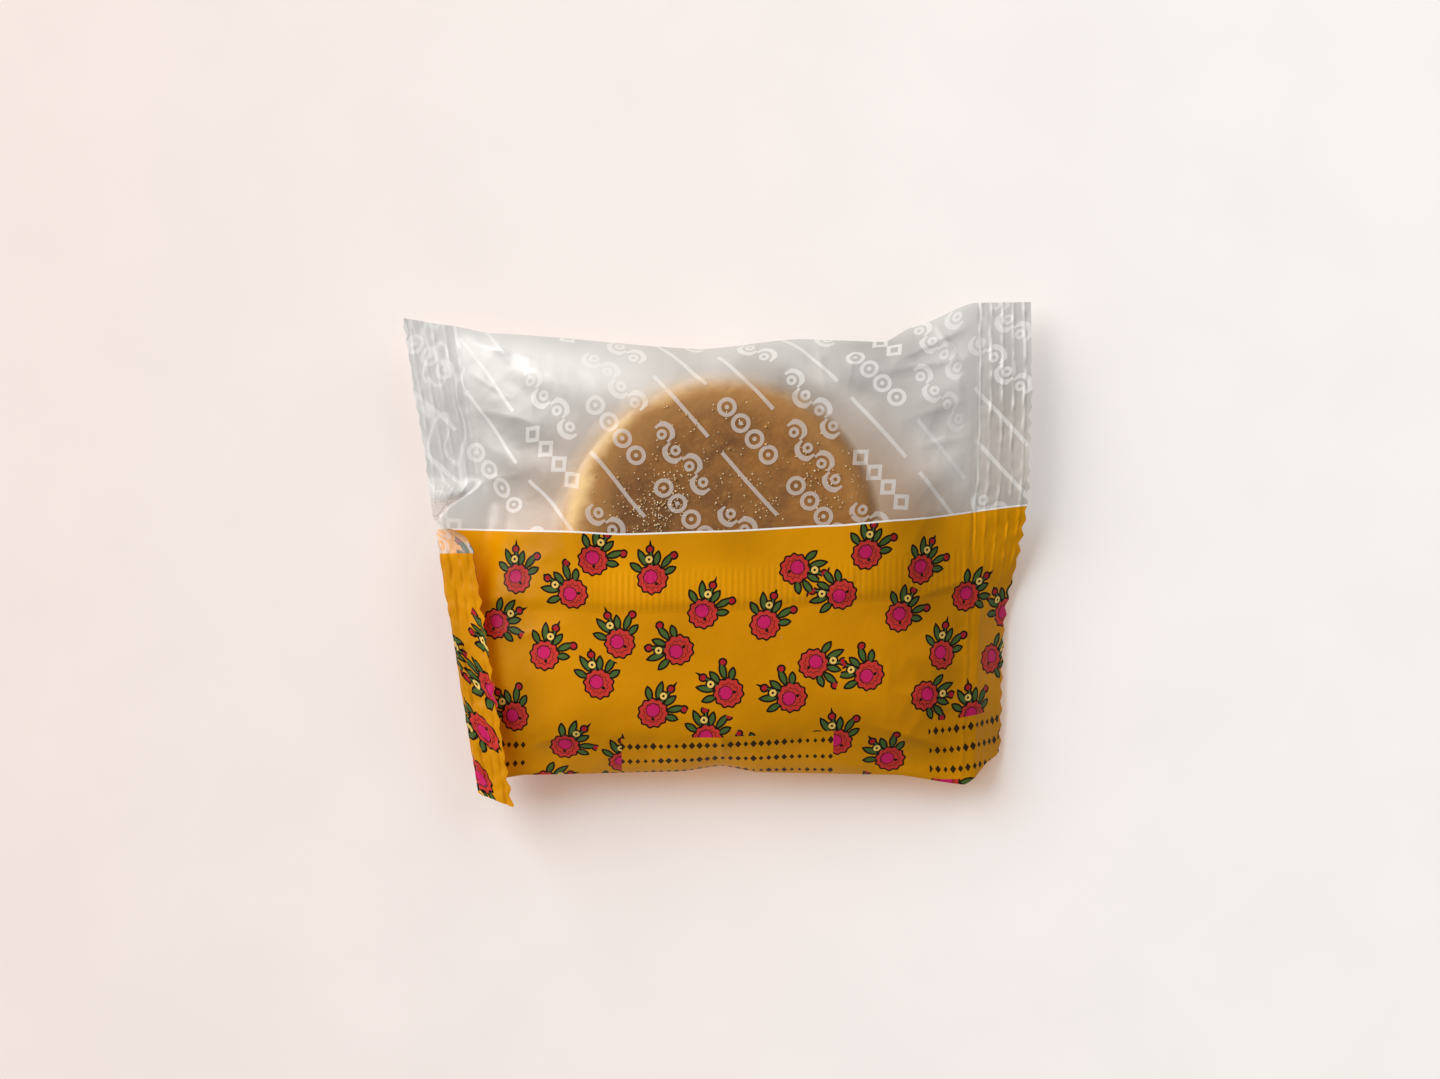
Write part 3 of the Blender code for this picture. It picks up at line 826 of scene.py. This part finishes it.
# %% Sugar and crumbs
draw = np.random.default_rng(11)
sugar_places = []
for centre, spread, count in SUGAR_PATCHES:
    spots = draw.normal(centre, spread / 2.0, (count, 2))
    away = np.hypot(spots[:, 0] - COOKIE_CENTRE[0], spots[:, 1] - COOKIE_CENTRE[1])
    sugar_places += spots[away < SUGAR_REACH].tolist()
sugar_sizes = draw.uniform(*SUGAR_SIZE, len(sugar_places))
sugar = grains("sugar_grains", sugar_places, sugar_sizes, draw)
crumb_places = draw.uniform(-26.0, 26.0, (110, 2)).tolist()
crumb_places = [spot for spot in crumb_places if math.hypot(*spot) < CRUMB_REACH]
crumbs = grains("crumbs", crumb_places, draw.uniform(*CRUMB_SIZE, len(crumb_places)), draw)

# %% [markdown]
# ## Finishes: colour and nodes
# Colours are written as the sRGB hex values that a picture editor shows, and one function
# turns them into the linear values that a renderer adds up. One more function adds a shader
# node with its settings and links, and a few short ones serve the kinds that are used most. A
# Mix node keeps its numbers at inputs 2 and 3, and its colours at inputs 6 and 7 and output 2.

# %% Helpers for finishes

def linear(code, alpha=1.0):
    """An sRGB hex colour as linear red, green, blue and alpha."""
    parts = [int(code[i:i + 2], 16) / 255.0 for i in (1, 3, 5)]
    bright = [p / 12.92 if p <= 0.04045 else ((p + 0.055) / 1.055) ** 2.4 for p in parts]
    return (*bright, alpha)


def add(tree, kind, inputs=(), out=0, **settings):
    """Add a node: its settings, then its inputs by place or name, linked or set. Gives one output."""
    node = tree.nodes.new("ShaderNode" + kind)
    for name, value in settings.items():
        setattr(node, name, value)
    pairs = inputs.items() if isinstance(inputs, dict) else enumerate(inputs)
    for key, value in pairs:
        if isinstance(value, bpy.types.NodeSocket):
            tree.links.new(value, node.inputs[key])
        elif value is not None:
            node.inputs[key].default_value = value
    return node.outputs[out] if node.outputs else node


def maths(tree, operation, *values):
    """One step of arithmetic on numbers."""
    return add(tree, "Math", values, operation=operation)


def vectors(tree, operation, *values):
    """One step of arithmetic on vectors. Some give a number, which is the node's output 1."""
    out = 1 if operation in ("LENGTH", "DISTANCE", "DOT_PRODUCT") else 0
    return add(tree, "VectorMath", values, out=out, operation=operation)


def rotate(tree, place, angle):
    """A place turned about the upright axis."""
    return add(tree, "VectorRotate", {"Vector": place, "Angle": angle}, rotation_type="Z_AXIS")


def blend(tree, share, below, above):
    """Two colours mixed: only the one below at share 0, only the one above at share 1."""
    return add(tree, "Mix", {0: share, 6: below, 7: above}, out=2, data_type="RGBA")


def fineness(size):
    """Scale of a noise with features of a size in mm, where places are measured in metres."""
    return 1.0 / (size * MM)


def clouds(tree, place, scale, detail=2.0, roughness=0.5):
    """Even noise, which finer layers roughen."""
    settings = {"Vector": place, "Scale": scale, "Detail": detail, "Roughness": roughness}
    return add(tree, "TexNoise", settings)


def new_finish(name):
    """An empty material, and its node tree."""
    material = bpy.data.materials.new(name)
    material.use_nodes = True
    material.node_tree.nodes.clear()
    return material, material.node_tree


def wear(piece, material):
    """Put a finish on a piece."""
    piece.data.materials.clear()
    piece.data.materials.append(material)


# %% [markdown]
# ## Printed flowers
# The yellow film carries small red sprigs all over. The design here is a plain folk flower:
# a scalloped bloom with a pink heart, a fan of leaves, two buds and a pale floret, each with a
# dark outline, as a flexographic plate would print it. Drawing it once as shapes and copying
# it would need hundreds of little meshes on a creased film. A shader does it better: cells of
# a Voronoi pattern give each sprig its own place and turn, and each shape is a distance, which
# is inside where it falls below zero. The pattern's cells are 10.6 mm apart, as on the pack,
# and no sprig has its middle near the two edges where the yellow ends.

# %% Flower print
SPRIG_SPACING = 10.6
SPRIG_SCATTER = 0.36
LATTICE_LEAN = math.radians(27.0)
SPRIG_LIMITS = (-76.0, 0.2)
SPRIG_SIZE = 1.12
TURN = 3.6
OUTLINE = 0.29
HEART_LINE = 0.12
RING_LINE = 0.05
BLOOM = 2.1
SCALLOPS = 11.0
SCALLOP_DEPTH = 0.13
LEAF = 0.36
# Each leaf of the fan: its turn in degrees, its distance from the middle, and half its length.
FAN = ((22.0, 2.9, 0.85), (47.0, 3.5, 1.15), (74.0, 3.2, 0.95), (112.0, 3.6, 1.2),
       (140.0, 3.1, 0.95))
STEM = (3.2, 1.7, 0.14)
BUD = 0.42
BUDS = ((-0.1, 4.6), (3.5, 3.3))
FLORET = ((-0.35, 3.05), 0.55)
FLORET_EYE = 0.2
HEART = ((-0.3, 0.35), 1.0)
PETAL_RING = 1.4
PETAL_NICK = ((0.55, -0.75), 0.26)
INKS = {"outline": "#1F140B", "bloom": "#B9342C", "heart": "#BC1F5C", "leaf": "#435C2D",
        "bud": "#A3202A", "floret": "#E0BA60"}


def lens(tree, spot, turn, reach, length, width):
    """Distance to a leaf: two arcs that meet in points, at a reach from the sprig's middle."""
    turned = rotate(tree, spot, -turn)
    moved = vectors(tree, "ADD", turned, (-reach, 0.0, 0.0))
    folded = vectors(tree, "ABSOLUTE", moved)
    offset = (length ** 2 - width ** 2) / (2.0 * width)
    from_centre = vectors(tree, "ADD", folded, (0.0, offset, 0.0))
    far = vectors(tree, "LENGTH", from_centre)
    return maths(tree, "SUBTRACT", far, offset + width)


def disc(tree, spot, centre, radius):
    """Distance to a round spot."""
    away = vectors(tree, "DISTANCE", spot, (*centre, 0.0))
    return maths(tree, "SUBTRACT", away, radius)


def nearest(tree, distances):
    """Distance to the nearest of several shapes."""
    result = distances[0]
    for other in distances[1:]:
        result = maths(tree, "MINIMUM", result, other)
    return result


def ink(tree, below, distance, code, grow=0.0):
    """Lay one ink over what is there, inside a shape."""
    inside = maths(tree, "LESS_THAN", distance, grow)
    return blend(tree, inside, below, linear(code))


# %% Sprigs
def sprig_cells(tree, flat):
    """The middle of the nearest sprig, and the place as seen from it, turned its own way."""
    lattice = rotate(tree, flat, LATTICE_LEAN)
    cell = {"Vector": lattice, "Scale": 1.0 / SPRIG_SPACING, "Randomness": SPRIG_SCATTER}
    centre = add(tree, "TexVoronoi", cell, out=2, voronoi_dimensions="2D")
    local = vectors(tree, "SUBTRACT", lattice, centre)
    chance = add(tree, "SeparateColor", (add(tree, "TexVoronoi", cell, out=1, voronoi_dimensions="2D"),))
    turn = maths(tree, "MULTIPLY_ADD", chance, TURN, -0.5 * TURN - LATTICE_LEAN)
    spot = rotate(tree, local, turn)
    spot = vectors(tree, "MULTIPLY", spot, (1.0 / SPRIG_SIZE,) * 3)
    return centre, vectors(tree, "ADD", spot, (0.0, 1.0, 0.0))


def sprig(tree, spot, ground):
    """One sprig's inks on the ground: the outline's first, then each part's inside it."""
    x = add(tree, "SeparateXYZ", (spot,))
    y = add(tree, "SeparateXYZ", (spot,), out=1)
    around = maths(tree, "ARCTAN2", y, x)
    petals = maths(tree, "MULTIPLY", around, SCALLOPS)
    waves = maths(tree, "COSINE", petals)
    away = vectors(tree, "LENGTH", spot)
    scallop = maths(tree, "MULTIPLY_ADD", waves, -SCALLOP_DEPTH, away)
    bloom = maths(tree, "SUBTRACT", scallop, BLOOM)
    inner = maths(tree, "SUBTRACT", scallop, PETAL_RING)
    petal_ring = maths(tree, "ABSOLUTE", inner)
    heart = disc(tree, spot, *HEART)
    leaves = [lens(tree, spot, math.radians(turn), reach, long, LEAF) for turn, reach, long in FAN]
    leaves = nearest(tree, leaves)
    buds = nearest(tree, [disc(tree, spot, centre, BUD) for centre in BUDS])
    floret = disc(tree, spot, *FLORET)
    stem = lens(tree, spot, math.radians(90.0), *STEM)
    shapes = nearest(tree, [bloom, leaves, buds, floret, stem])
    colour = ink(tree, ground, shapes, INKS["outline"], OUTLINE)
    colour = ink(tree, colour, nearest(tree, [leaves, stem]), INKS["leaf"])
    colour = ink(tree, colour, bloom, INKS["bloom"])
    colour = ink(tree, colour, heart, INKS["outline"], HEART_LINE)
    colour = ink(tree, colour, heart, INKS["heart"])
    colour = ink(tree, colour, petal_ring, INKS["outline"], RING_LINE)
    colour = ink(tree, colour, disc(tree, spot, *PETAL_NICK), INKS["outline"])
    colour = ink(tree, colour, buds, INKS["bud"])
    colour = ink(tree, colour, floret, INKS["floret"])
    return ink(tree, colour, disc(tree, spot, FLORET[0], FLORET_EYE), INKS["outline"])


def sprigs(tree, flat, ground):
    """The yellow ground with the sprigs printed on it, in reel millimetres."""
    centre, spot = sprig_cells(tree, flat)
    colour = sprig(tree, spot, ground)
    origin = rotate(tree, centre, -LATTICE_LEAN)
    rise = add(tree, "SeparateXYZ", (origin,), out=1)
    above = maths(tree, "GREATER_THAN", rise, SPRIG_LIMITS[0])
    below = maths(tree, "LESS_THAN", rise, SPRIG_LIMITS[1])
    kept = maths(tree, "MULTIPLY", above, below)
    return blend(tree, kept, ground, colour)


# %% [markdown]
# ## Plain borders
# Low on the pack the flowers stop at plain amber panels, where three rows of small dark
# lozenges run along the film. A panel repeats every 54 mm, once for each length of film that
# a pack takes. The rows are cut into cells, and each cell holds one lozenge of its own size.

# %% Border print
PANEL_REPEAT = 54.0
PANEL_LENGTH = 37.0
PANEL_START = -17.0
PANEL_TOP = -32.4
PANEL_FOOT = -43.2
BORDER_ROW = 3.6
BORDER_CELL = 1.35
LOZENGE = (0.6, 0.85)
BORDER_INK = "#33230B"


def border(tree, flat, ground, colour):
    """Lay the plain panels over the flowers, with their rows of lozenges."""
    x, y = [add(tree, "SeparateXYZ", (flat,), out=i) for i in (0, 1)]
    wrapped = maths(tree, "WRAP", x, PANEL_START + PANEL_REPEAT, PANEL_START)
    inside = maths(tree, "LESS_THAN", wrapped, PANEL_START + PANEL_LENGTH)
    low = maths(tree, "LESS_THAN", y, PANEL_TOP)
    high = maths(tree, "GREATER_THAN", y, PANEL_FOOT)
    here = maths(tree, "MULTIPLY", low, high)
    here = maths(tree, "MULTIPLY", inside, here)
    colour = blend(tree, here, colour, ground)
    scaled = vectors(tree, "DIVIDE", flat, (BORDER_CELL, BORDER_ROW, 1.0))
    cell = vectors(tree, "FLOOR", scaled)
    size = add(tree, "TexWhiteNoise", {"Vector": cell}, noise_dimensions="2D")
    size = maths(tree, "MULTIPLY_ADD", size, 0.45, 0.6)
    local = vectors(tree, "SUBTRACT", scaled, cell)
    local = vectors(tree, "SUBTRACT", local, (0.5, 0.5, 0.0))
    local = vectors(tree, "ABSOLUTE", local)
    slopes = (BORDER_CELL / LOZENGE[0], BORDER_ROW / LOZENGE[1], 0.0)
    lozenge = vectors(tree, "DOT_PRODUCT", local, slopes)
    inked = maths(tree, "LESS_THAN", lozenge, size)
    inked = maths(tree, "MULTIPLY", inked, here)
    return blend(tree, inked, colour, linear(BORDER_INK))


# %% [markdown]
# ## White line print
# The clear panel carries diagonal rows printed in white: here a running scroll that curls
# round rings, chains of rings and of lozenges, and long thin lines between them. White ink on
# film is milky, not solid, so it mostly thickens the haze. Rows are 5.7 mm apart and lean 50
# degrees, and a random draw for each stretch of a row says what it holds. Strokes are given as
# a distance and half a width, because that is what a Compare node asks for.

# %% White print
ROW_LEAN = math.radians(50.0)
ROW_PITCH = 5.7
ROW_SLIP = 7.3
CURL = 3.7
STRETCH = 5.0 * CURL
STROKE = 0.46
EYE = (0.62, 0.28)
RING = (1.35, 0.35)
DOT = 0.38
WHITE_LOZENGE = (1.4, 0.48)
LINE = 0.34
# A draw below the first of these gives the scroll, then rings, lozenges, a line, and nothing.
KINDS = (0.36, 0.46, 0.54, 0.97)


def white_cells(tree, flat):
    """Rows and cells: the place along the rows, the place in its cell, the row, the way along."""
    turned = rotate(tree, flat, ROW_LEAN)
    row = add(tree, "SeparateXYZ", (turned,), out=1)
    row = maths(tree, "MULTIPLY", row, 1.0 / ROW_PITCH)
    row = maths(tree, "ROUND", row)
    slip = add(tree, "CombineXYZ", (maths(tree, "MULTIPLY", row, ROW_SLIP),))
    place = vectors(tree, "ADD", turned, slip)
    half = Vector((CURL / 2.0, ROW_PITCH / 2.0, 0.0))
    local = vectors(tree, "WRAP", place, half, -half)
    along_row = maths(tree, "ADD", add(tree, "SeparateXYZ", (place,)), CURL / 2.0)
    return place, local, row, along_row


def scroll(tree, place, local):
    """1 on the running scroll: half rings that change sides from cell to cell, round an eye."""
    cell = add(tree, "SeparateXYZ", (vectors(tree, "SUBTRACT", place, local),))
    flip = maths(tree, "MULTIPLY", cell, math.pi / CURL)
    flip = maths(tree, "COSINE", flip)
    side = maths(tree, "MULTIPLY", add(tree, "SeparateXYZ", (local,), out=1), flip)
    side = maths(tree, "GREATER_THAN", side, -0.1)
    away = vectors(tree, "LENGTH", local)
    arc = maths(tree, "COMPARE", away, CURL / 2.0, STROKE)
    arc = maths(tree, "MULTIPLY", arc, side)
    eye = maths(tree, "COMPARE", away, *EYE)
    return maths(tree, "MAXIMUM", arc, eye)


def white_print(tree, flat):
    """1 where white ink is printed on the clear film, 0 elsewhere."""
    place, local, row, along_row = white_cells(tree, flat)
    stretch = maths(tree, "MULTIPLY", along_row, 1.0 / STRETCH)
    stretch = add(tree, "CombineXYZ", (maths(tree, "FLOOR", stretch), row))
    kind = add(tree, "TexWhiteNoise", {"Vector": stretch}, noise_dimensions="2D")
    shape = scroll(tree, place, local)
    away = vectors(tree, "LENGTH", local)
    dot = maths(tree, "LESS_THAN", away, DOT)
    ring = maths(tree, "COMPARE", away, *RING)
    target = maths(tree, "ADD", dot, ring)
    size = vectors(tree, "ABSOLUTE", local)
    lozenge = vectors(tree, "DOT_PRODUCT", size, (1.0, 1.0, 0.0))
    lozenge = maths(tree, "COMPARE", lozenge, *WHITE_LOZENGE)
    line = maths(tree, "LESS_THAN", add(tree, "SeparateXYZ", (size,), out=1), LINE)
    for limit, other in zip(KINDS, (target, lozenge, line, 0.0)):
        later = maths(tree, "GREATER_THAN", kind, limit)
        shape = add(tree, "Mix", {0: later, 2: shape, 3: other})
    start = maths(tree, "WRAP", along_row, STRETCH, 0.0)
    clear = maths(tree, "GREATER_THAN", start, CURL)
    return maths(tree, "MULTIPLY", shape, clear)


# %% [markdown]
# ## Clear film
# Cast polypropylene, about 0.03 mm thick. It is milky rather than glassy: it shows what it
# touches, and hides what it stands away from. A rough glass would blur what lies behind, but
# renders slowly and is lost on export, so the film is a thin glossy skin whose opacity grows
# with the gap to the cookie. Its IOR is polypropylene's, 1.49. Its grey holds painted light: a
# warmer grey low down and at the right, for light that came through the amber film, and the
# tone mark's painted light and shade, milky where it paints light and deep where it paints
# shade. Most of the lamps' light gets through the clear film, which a mix with a transparent
# shader gives to shadow rays only.

# %% Cast polypropylene
# The deep and milky greys also serve as painted shade and painted light, and the glow grey as painted
# warm light.
FILM_DEEP_AND_SHADED = "#9A9894"
FILM_MILK_AND_LIT = "#DEDEDB"
PAINTED_GLOW_GREY = "#B3977C"
WHITE_INK = "#E2E1DE"
HAZE_GAP = (0.25, 3.6)
HAZE = (0.02, 0.86)
INK_COVER = 0.54
INK_WHITE = 0.62
CLEAR_LIGHT = 0.6
DENT = 3.85
DENT_DEPTH = 0.6
DENT_STRENGTH = 0.2


def film_bump(tree):
    """Fine crinkle of a film that was handled: soft dents some millimetres wide."""
    place = add(tree, "TexCoord", out=3)
    dents = clouds(tree, place, fineness(DENT))
    dents = {"Strength": DENT_STRENGTH, "Distance": DENT_DEPTH * MM, "Height": dents}
    return add(tree, "Bump", dents)


def lit_through(tree, shader, share, code):
    """Let a share of the lamps' light through a film, tinted, and finish the material."""
    falls = maths(tree, "MULTIPLY", add(tree, "LightPath", out=1), share)
    passing = add(tree, "BsdfTransparent", {"Color": linear(code)})
    add(tree, "OutputMaterial", (add(tree, "MixShader", {0: falls, 1: shader, 2: passing}),))


def clear_film(name, printed):
    """Milky film: the white print shows as strongly as printed says."""
    material, tree = new_finish(name)
    gap = add(tree, "Attribute", out=2, attribute_name="gap")
    painted_glow = add(tree, "Attribute", out=2, attribute_name="painted_glow")
    tone = add(tree, "Attribute", out=2, attribute_name="tone")
    haze = add(tree, "MapRange", (gap, *HAZE_GAP, *HAZE), interpolation_type="SMOOTHSTEP")
    white = white_print(tree, add(tree, "UVMap", uv_map="reel_mm"))
    inked = maths(tree, "MULTIPLY", white, printed)
    thick = maths(tree, "MULTIPLY", inked, INK_COVER)
    cover = maths(tree, "MAXIMUM", haze, thick)
    # Painted light and shade: the tone mark turns the grey milky where it paints light, and deep where
    # it paints shade.
    grey = blend(tree, tone, linear(FILM_DEEP_AND_SHADED), linear(FILM_MILK_AND_LIT))
    # Painted light: a warm glow where light came through the amber film.
    grey = blend(tree, painted_glow, grey, linear(PAINTED_GLOW_GREY))
    milky = maths(tree, "MULTIPLY", inked, INK_WHITE)
    colour = blend(tree, milky, grey, linear(WHITE_INK))
    shader = add(tree, "BsdfPrincipled", {"Base Color": colour, "Roughness": 0.34, "IOR": 1.49,
                                          "Alpha": cover, "Normal": film_bump(tree),
                                          "Specular IOR Level": 0.7})
    lit_through(tree, shader, CLEAR_LIGHT, "#FFFFFF")
    return material


wear(film_back_clear, clear_film("cast_polypropylene_back", 1.0))
wear(film_front_clear, clear_film("cast_polypropylene_front", 0.6))

# %% [markdown]
# ## Printed film
# The same film, reverse printed amber yellow, so the ink lies under a glossy skin. The ink
# isn't quite even, and looks brighter on the fin, where two films lie together. The tone mark
# scales it with painted light and shade: darker along the fin's top, over the flap, in the flap's
# shadow and at the right, and lighter on the strip low down. The ink stops a little short of the
# fin's cut edge, which leaves a thin white line. The film tints the light it lets by.

# %% Reverse-printed polypropylene
AMBER = "#CB8800"
AMBER_DEEP = "#BE7D00"
AMBER_DOUBLE = "#DA9400"
AMBER_GLOW = "#FFDCA0"
AMBER_LIGHT = 0.65
INK_PATCH = 12.5
BARE_MARGIN = 0.3


def printed_film(name):
    """Amber film with sprigs, borders and a bare margin."""
    material, tree = new_finish(name)
    flat = add(tree, "UVMap", uv_map="reel_mm")
    margin = add(tree, "Attribute", out=2, attribute_name="margin")
    tone = add(tree, "Attribute", out=2, attribute_name="tone")
    patch = clouds(tree, flat, 1.0 / INK_PATCH, 3.0, 0.6)
    ground = blend(tree, patch, linear(AMBER), linear(AMBER_DEEP))
    double = add(tree, "MapRange", (margin, FIN_WIDTH, 0.5 * FIN_WIDTH, 0.0, 0.7))
    ground = blend(tree, double, ground, linear(AMBER_DOUBLE))
    colour = border(tree, flat, ground, sprigs(tree, flat, ground))
    # Painted light and shade: the tone mark makes the amber lighter and darker by place.
    painted_light_scale = maths(tree, "ADD", tone, 0.5)
    colour = add(tree, "VectorMath", {0: colour, "Scale": painted_light_scale}, operation="SCALE")
    bare = maths(tree, "LESS_THAN", margin, BARE_MARGIN)
    colour = blend(tree, bare, colour, linear(WHITE_INK))
    shader = add(tree, "BsdfPrincipled", {"Base Color": colour, "Roughness": 0.32, "IOR": 1.49,
                                          "Normal": film_bump(tree), "Specular IOR Level": 0.1})
    lit_through(tree, shader, AMBER_LIGHT, AMBER_GLOW)
    return material


amber_film = printed_film("reverse_printed_polypropylene")
wear(film_back_printed, amber_film)
wear(film_front_printed, amber_film)

# %% [markdown]
# ## Baked dough
# Semolina shortbread: sandy, dry and matt. Baking browns the face most, and leaves the rim,
# which the mould shielded, pale cream. Towards the right, and a little towards the top, the brown
# runs further down the rim: painted shade, for the side of the rim that faces away from the
# lamp. The face is mottled in patches some millimetres wide, golden and brown, and duller to
# the left, with a fine speckle of semolina over them. Semolina's grains are about 0.5 mm wide,
# and the speckle is drawn a little coarser, so that it shows.

# %% Baked semolina dough
# Each fade: how far from the cookie's middle it begins and ends.
RIM_FADE = (30.8, 26.8)
FACE_FADE = (28.5, 20.5)
UNEVEN = 8.33
UNEVEN_BY = 6.0
PATCH = 6.67
GRIT = 0.77
GRIT_DEPTH = 0.3
# Painted shade: how much further out the brown reaches towards the right, away from the lamp, and a
# little towards the top.
PAINTED_SHADE_SIDE = (0.10, 0.035, 0.0)
SCORCH = 9.0
DOUGH = {"rim": "#E0BF86", "golden": "#A1743F", "brown": "#906028", "dark": "#674220",
         "speckle": "#AA7E44"}


def baking(tree, place):
    """How golden and how brown the dough is at a place, by its distance from the middle."""
    centre = Vector((COOKIE_CENTRE[0] + SHIFT[0], COOKIE_CENTRE[1] + SHIFT[1], 0.0)) * MM
    flat = vectors(tree, "MULTIPLY", place, (1.0, 1.0, 0.0))
    away = vectors(tree, "DISTANCE", flat, centre)
    uneven = clouds(tree, place, fineness(UNEVEN), 4.0, 0.6)
    edge = maths(tree, "MULTIPLY_ADD", uneven, UNEVEN_BY * MM, away)
    # Painted shade: the brown runs further out towards the right, away from the lamp.
    painted_shade = vectors(tree, "DOT_PRODUCT", place, PAINTED_SHADE_SIDE)
    edge = maths(tree, "SUBTRACT", edge, painted_shade)
    return [
        add(tree, "MapRange", (edge, start * MM, end * MM, 0.0, 1.0), interpolation_type="SMOOTHSTEP")
        for start, end in (RIM_FADE, FACE_FADE)]


def baked_dough():
    """Pale rim, golden shoulder, brown face, each fading into the next."""
    material, tree = new_finish("baked_semolina_dough")
    place = add(tree, "TexCoord", out=3)
    golden, browned = baking(tree, place)
    mottle = clouds(tree, place, fineness(GRIT), 4.0, 0.7)
    broad = clouds(tree, place, fineness(PATCH), 3.0, 0.6)
    east = add(tree, "SeparateXYZ", (place,))
    broad = maths(tree, "MULTIPLY_ADD", east, SCORCH, broad)
    baked = add(tree, "MapRange", (broad, 0.3, 0.7, 0.0, 1.0))
    face = blend(tree, baked, linear(DOUGH["dark"]), linear(DOUGH["brown"]))
    speckle = add(tree, "MapRange", (mottle, 0.5, 0.75, 0.0, 0.4))
    face = blend(tree, speckle, face, linear(DOUGH["speckle"]))
    face = blend(tree, browned, linear(DOUGH["golden"]), face)
    colour = blend(tree, golden, linear(DOUGH["rim"]), face)
    relief = add(tree, "Bump", {"Strength": 0.35, "Distance": GRIT_DEPTH * MM, "Height": mottle})
    shader = add(tree, "BsdfPrincipled", {"Base Color": colour, "Roughness": 0.85, "Normal": relief,
                                          "Specular IOR Level": 0.3})
    add(tree, "OutputMaterial", (shader,))
    return material


wear(cookie, baked_dough())

# %% [markdown]
# ## Sugar
# Granulated sugar is clear crystal, but a grain this small reads as a pale glint. A glass
# shader would show no more at this size and take longer, so the grains are pale, a little
# glossy, and no two alike. Crumbs are bits of the toasted dough, matt and darker.

# %% Crystal sugar and loose crumbs
GLINT = 0.4


def grain_finish(name, code, roughness):
    """One pale colour that varies from grain to grain."""
    material, tree = new_finish(name)
    speckle = clouds(tree, add(tree, "TexCoord", out=3), fineness(GLINT))
    pale, deep = linear(code), tuple(0.7 * c for c in linear(code)[:3]) + (1.0,)
    colour = blend(tree, speckle, pale, deep)
    shader = add(tree, "BsdfPrincipled", {"Base Color": colour, "Roughness": roughness, "IOR": 1.54})
    add(tree, "OutputMaterial", (shader,))
    return material


wear(sugar, grain_finish("crystal_sugar", "#E9CFA2", 0.35))
wear(crumbs, grain_finish("toasted_crumb", "#C99B5E", 0.8))

# %% [markdown]
# ## The table
# A board painted matt white, a little warmer to the left, where the room's light reaches it.
# Paint this flat needs no texture but a faint cloudiness some centimetres wide, which keeps the
# surface from looking like a blank page. From here on places are in metres, as Blender's are.

# %% Floor
TABLE_ENDS = (-0.12, 0.12)
TABLE_SHADES = (0.97, 1.0)
TABLE_WARM = "#EAE0DB"
TABLE_PALE = "#F5F3F1"
TABLE_CLOUD = 25.0
bpy.ops.mesh.primitive_plane_add(size=3.0, location=(0.0, 0.0, -0.0002))
floor = bpy.context.object
floor.name = "floor"
paint, tree = new_finish("matt_white_table")
place = add(tree, "TexCoord", out=3)
cloud = clouds(tree, place, fineness(TABLE_CLOUD))
east = add(tree, "SeparateXYZ", (place,))
along_floor = add(tree, "MapRange", (east, *TABLE_ENDS, 0.0, 1.0))
tone = blend(tree, along_floor, linear(TABLE_WARM), linear(TABLE_PALE))
shade = add(tree, "MapRange", (cloud, 0.3, 0.7, *TABLE_SHADES))
shade = add(tree, "CombineXYZ", (shade, shade, shade))
tone = vectors(tree, "MULTIPLY", tone, shade)
add(tree, "OutputMaterial", (add(tree, "BsdfPrincipled", {"Base Color": tone, "Roughness": 0.7}),))
floor.data.materials.append(paint)
print("floor", [round(v, 2) for v in floor.dimensions[:2]], "m")

# %% [markdown]
# ## Light
# One soft light stands low to the upper left, as a window would, so slopes that face away from
# it fall into shade. A weaker one far to the right and a dim even sky fill them. A picture of a
# sky could light the scene alone, but two softboxes give the film clear, soft-edged glints.

# %% Lights
SKY_LEVEL = 0.33
bpy.context.scene.view_settings.view_transform = "Standard"
sky = bpy.data.worlds.new("even_sky")
sky.use_nodes = True
sky.node_tree.nodes["Background"].inputs["Color"].default_value = linear("#F4F6FA")
sky.node_tree.nodes["Background"].inputs["Strength"].default_value = SKY_LEVEL
bpy.context.scene.world = sky


def soft_light(name, place, aim, size, power, code):
    """A square softbox that faces a point."""
    data = bpy.data.lights.new(name, "AREA")
    data.size = size
    data.energy = power
    data.color = linear(code)[:3]
    lamp = bpy.data.objects.new(name, data)
    lamp.location = place
    lamp.rotation_euler = (Vector(aim) - Vector(place)).to_track_quat("-Z", "Y").to_euler()
    bpy.context.scene.collection.objects.link(lamp)


soft_light("window", (-2.2, 1.5, 2.0), (0.0, 0.0, 0.0), 2.8, 146.0, "#FFF9F5")
soft_light("far_window", (1.6, 2.4, 2.0), (0.0, 0.0, 0.0), 2.0, 28.0, "#FFFDFB")
print("sky", SKY_LEVEL, "and", len(bpy.data.lights), "softboxes")

# %% [markdown]
# ## Camera
# The camera looks straight down from 55 cm, about as far as a hand-held one, on a view 252 mm
# wide. The lens follows from the two, so either can be changed without losing the framing.

# %% Camera
VIEW_WIDTH = 0.252
CAMERA_HEIGHT = 0.55
SENSOR = 36.0
VIEW_CENTRE = Vector((0.0004, 0.0024, SEAL_Z * MM))
camera_data = bpy.data.cameras.new("camera")
camera_data.sensor_width = SENSOR
camera_data.lens = SENSOR * CAMERA_HEIGHT / VIEW_WIDTH
camera = bpy.data.objects.new("camera", camera_data)
camera.location = VIEW_CENTRE + Vector((0.0, 0.0, CAMERA_HEIGHT))
bpy.context.scene.collection.objects.link(camera)
bpy.context.scene.camera = camera
print("lens", round(camera_data.lens, 1), "mm")
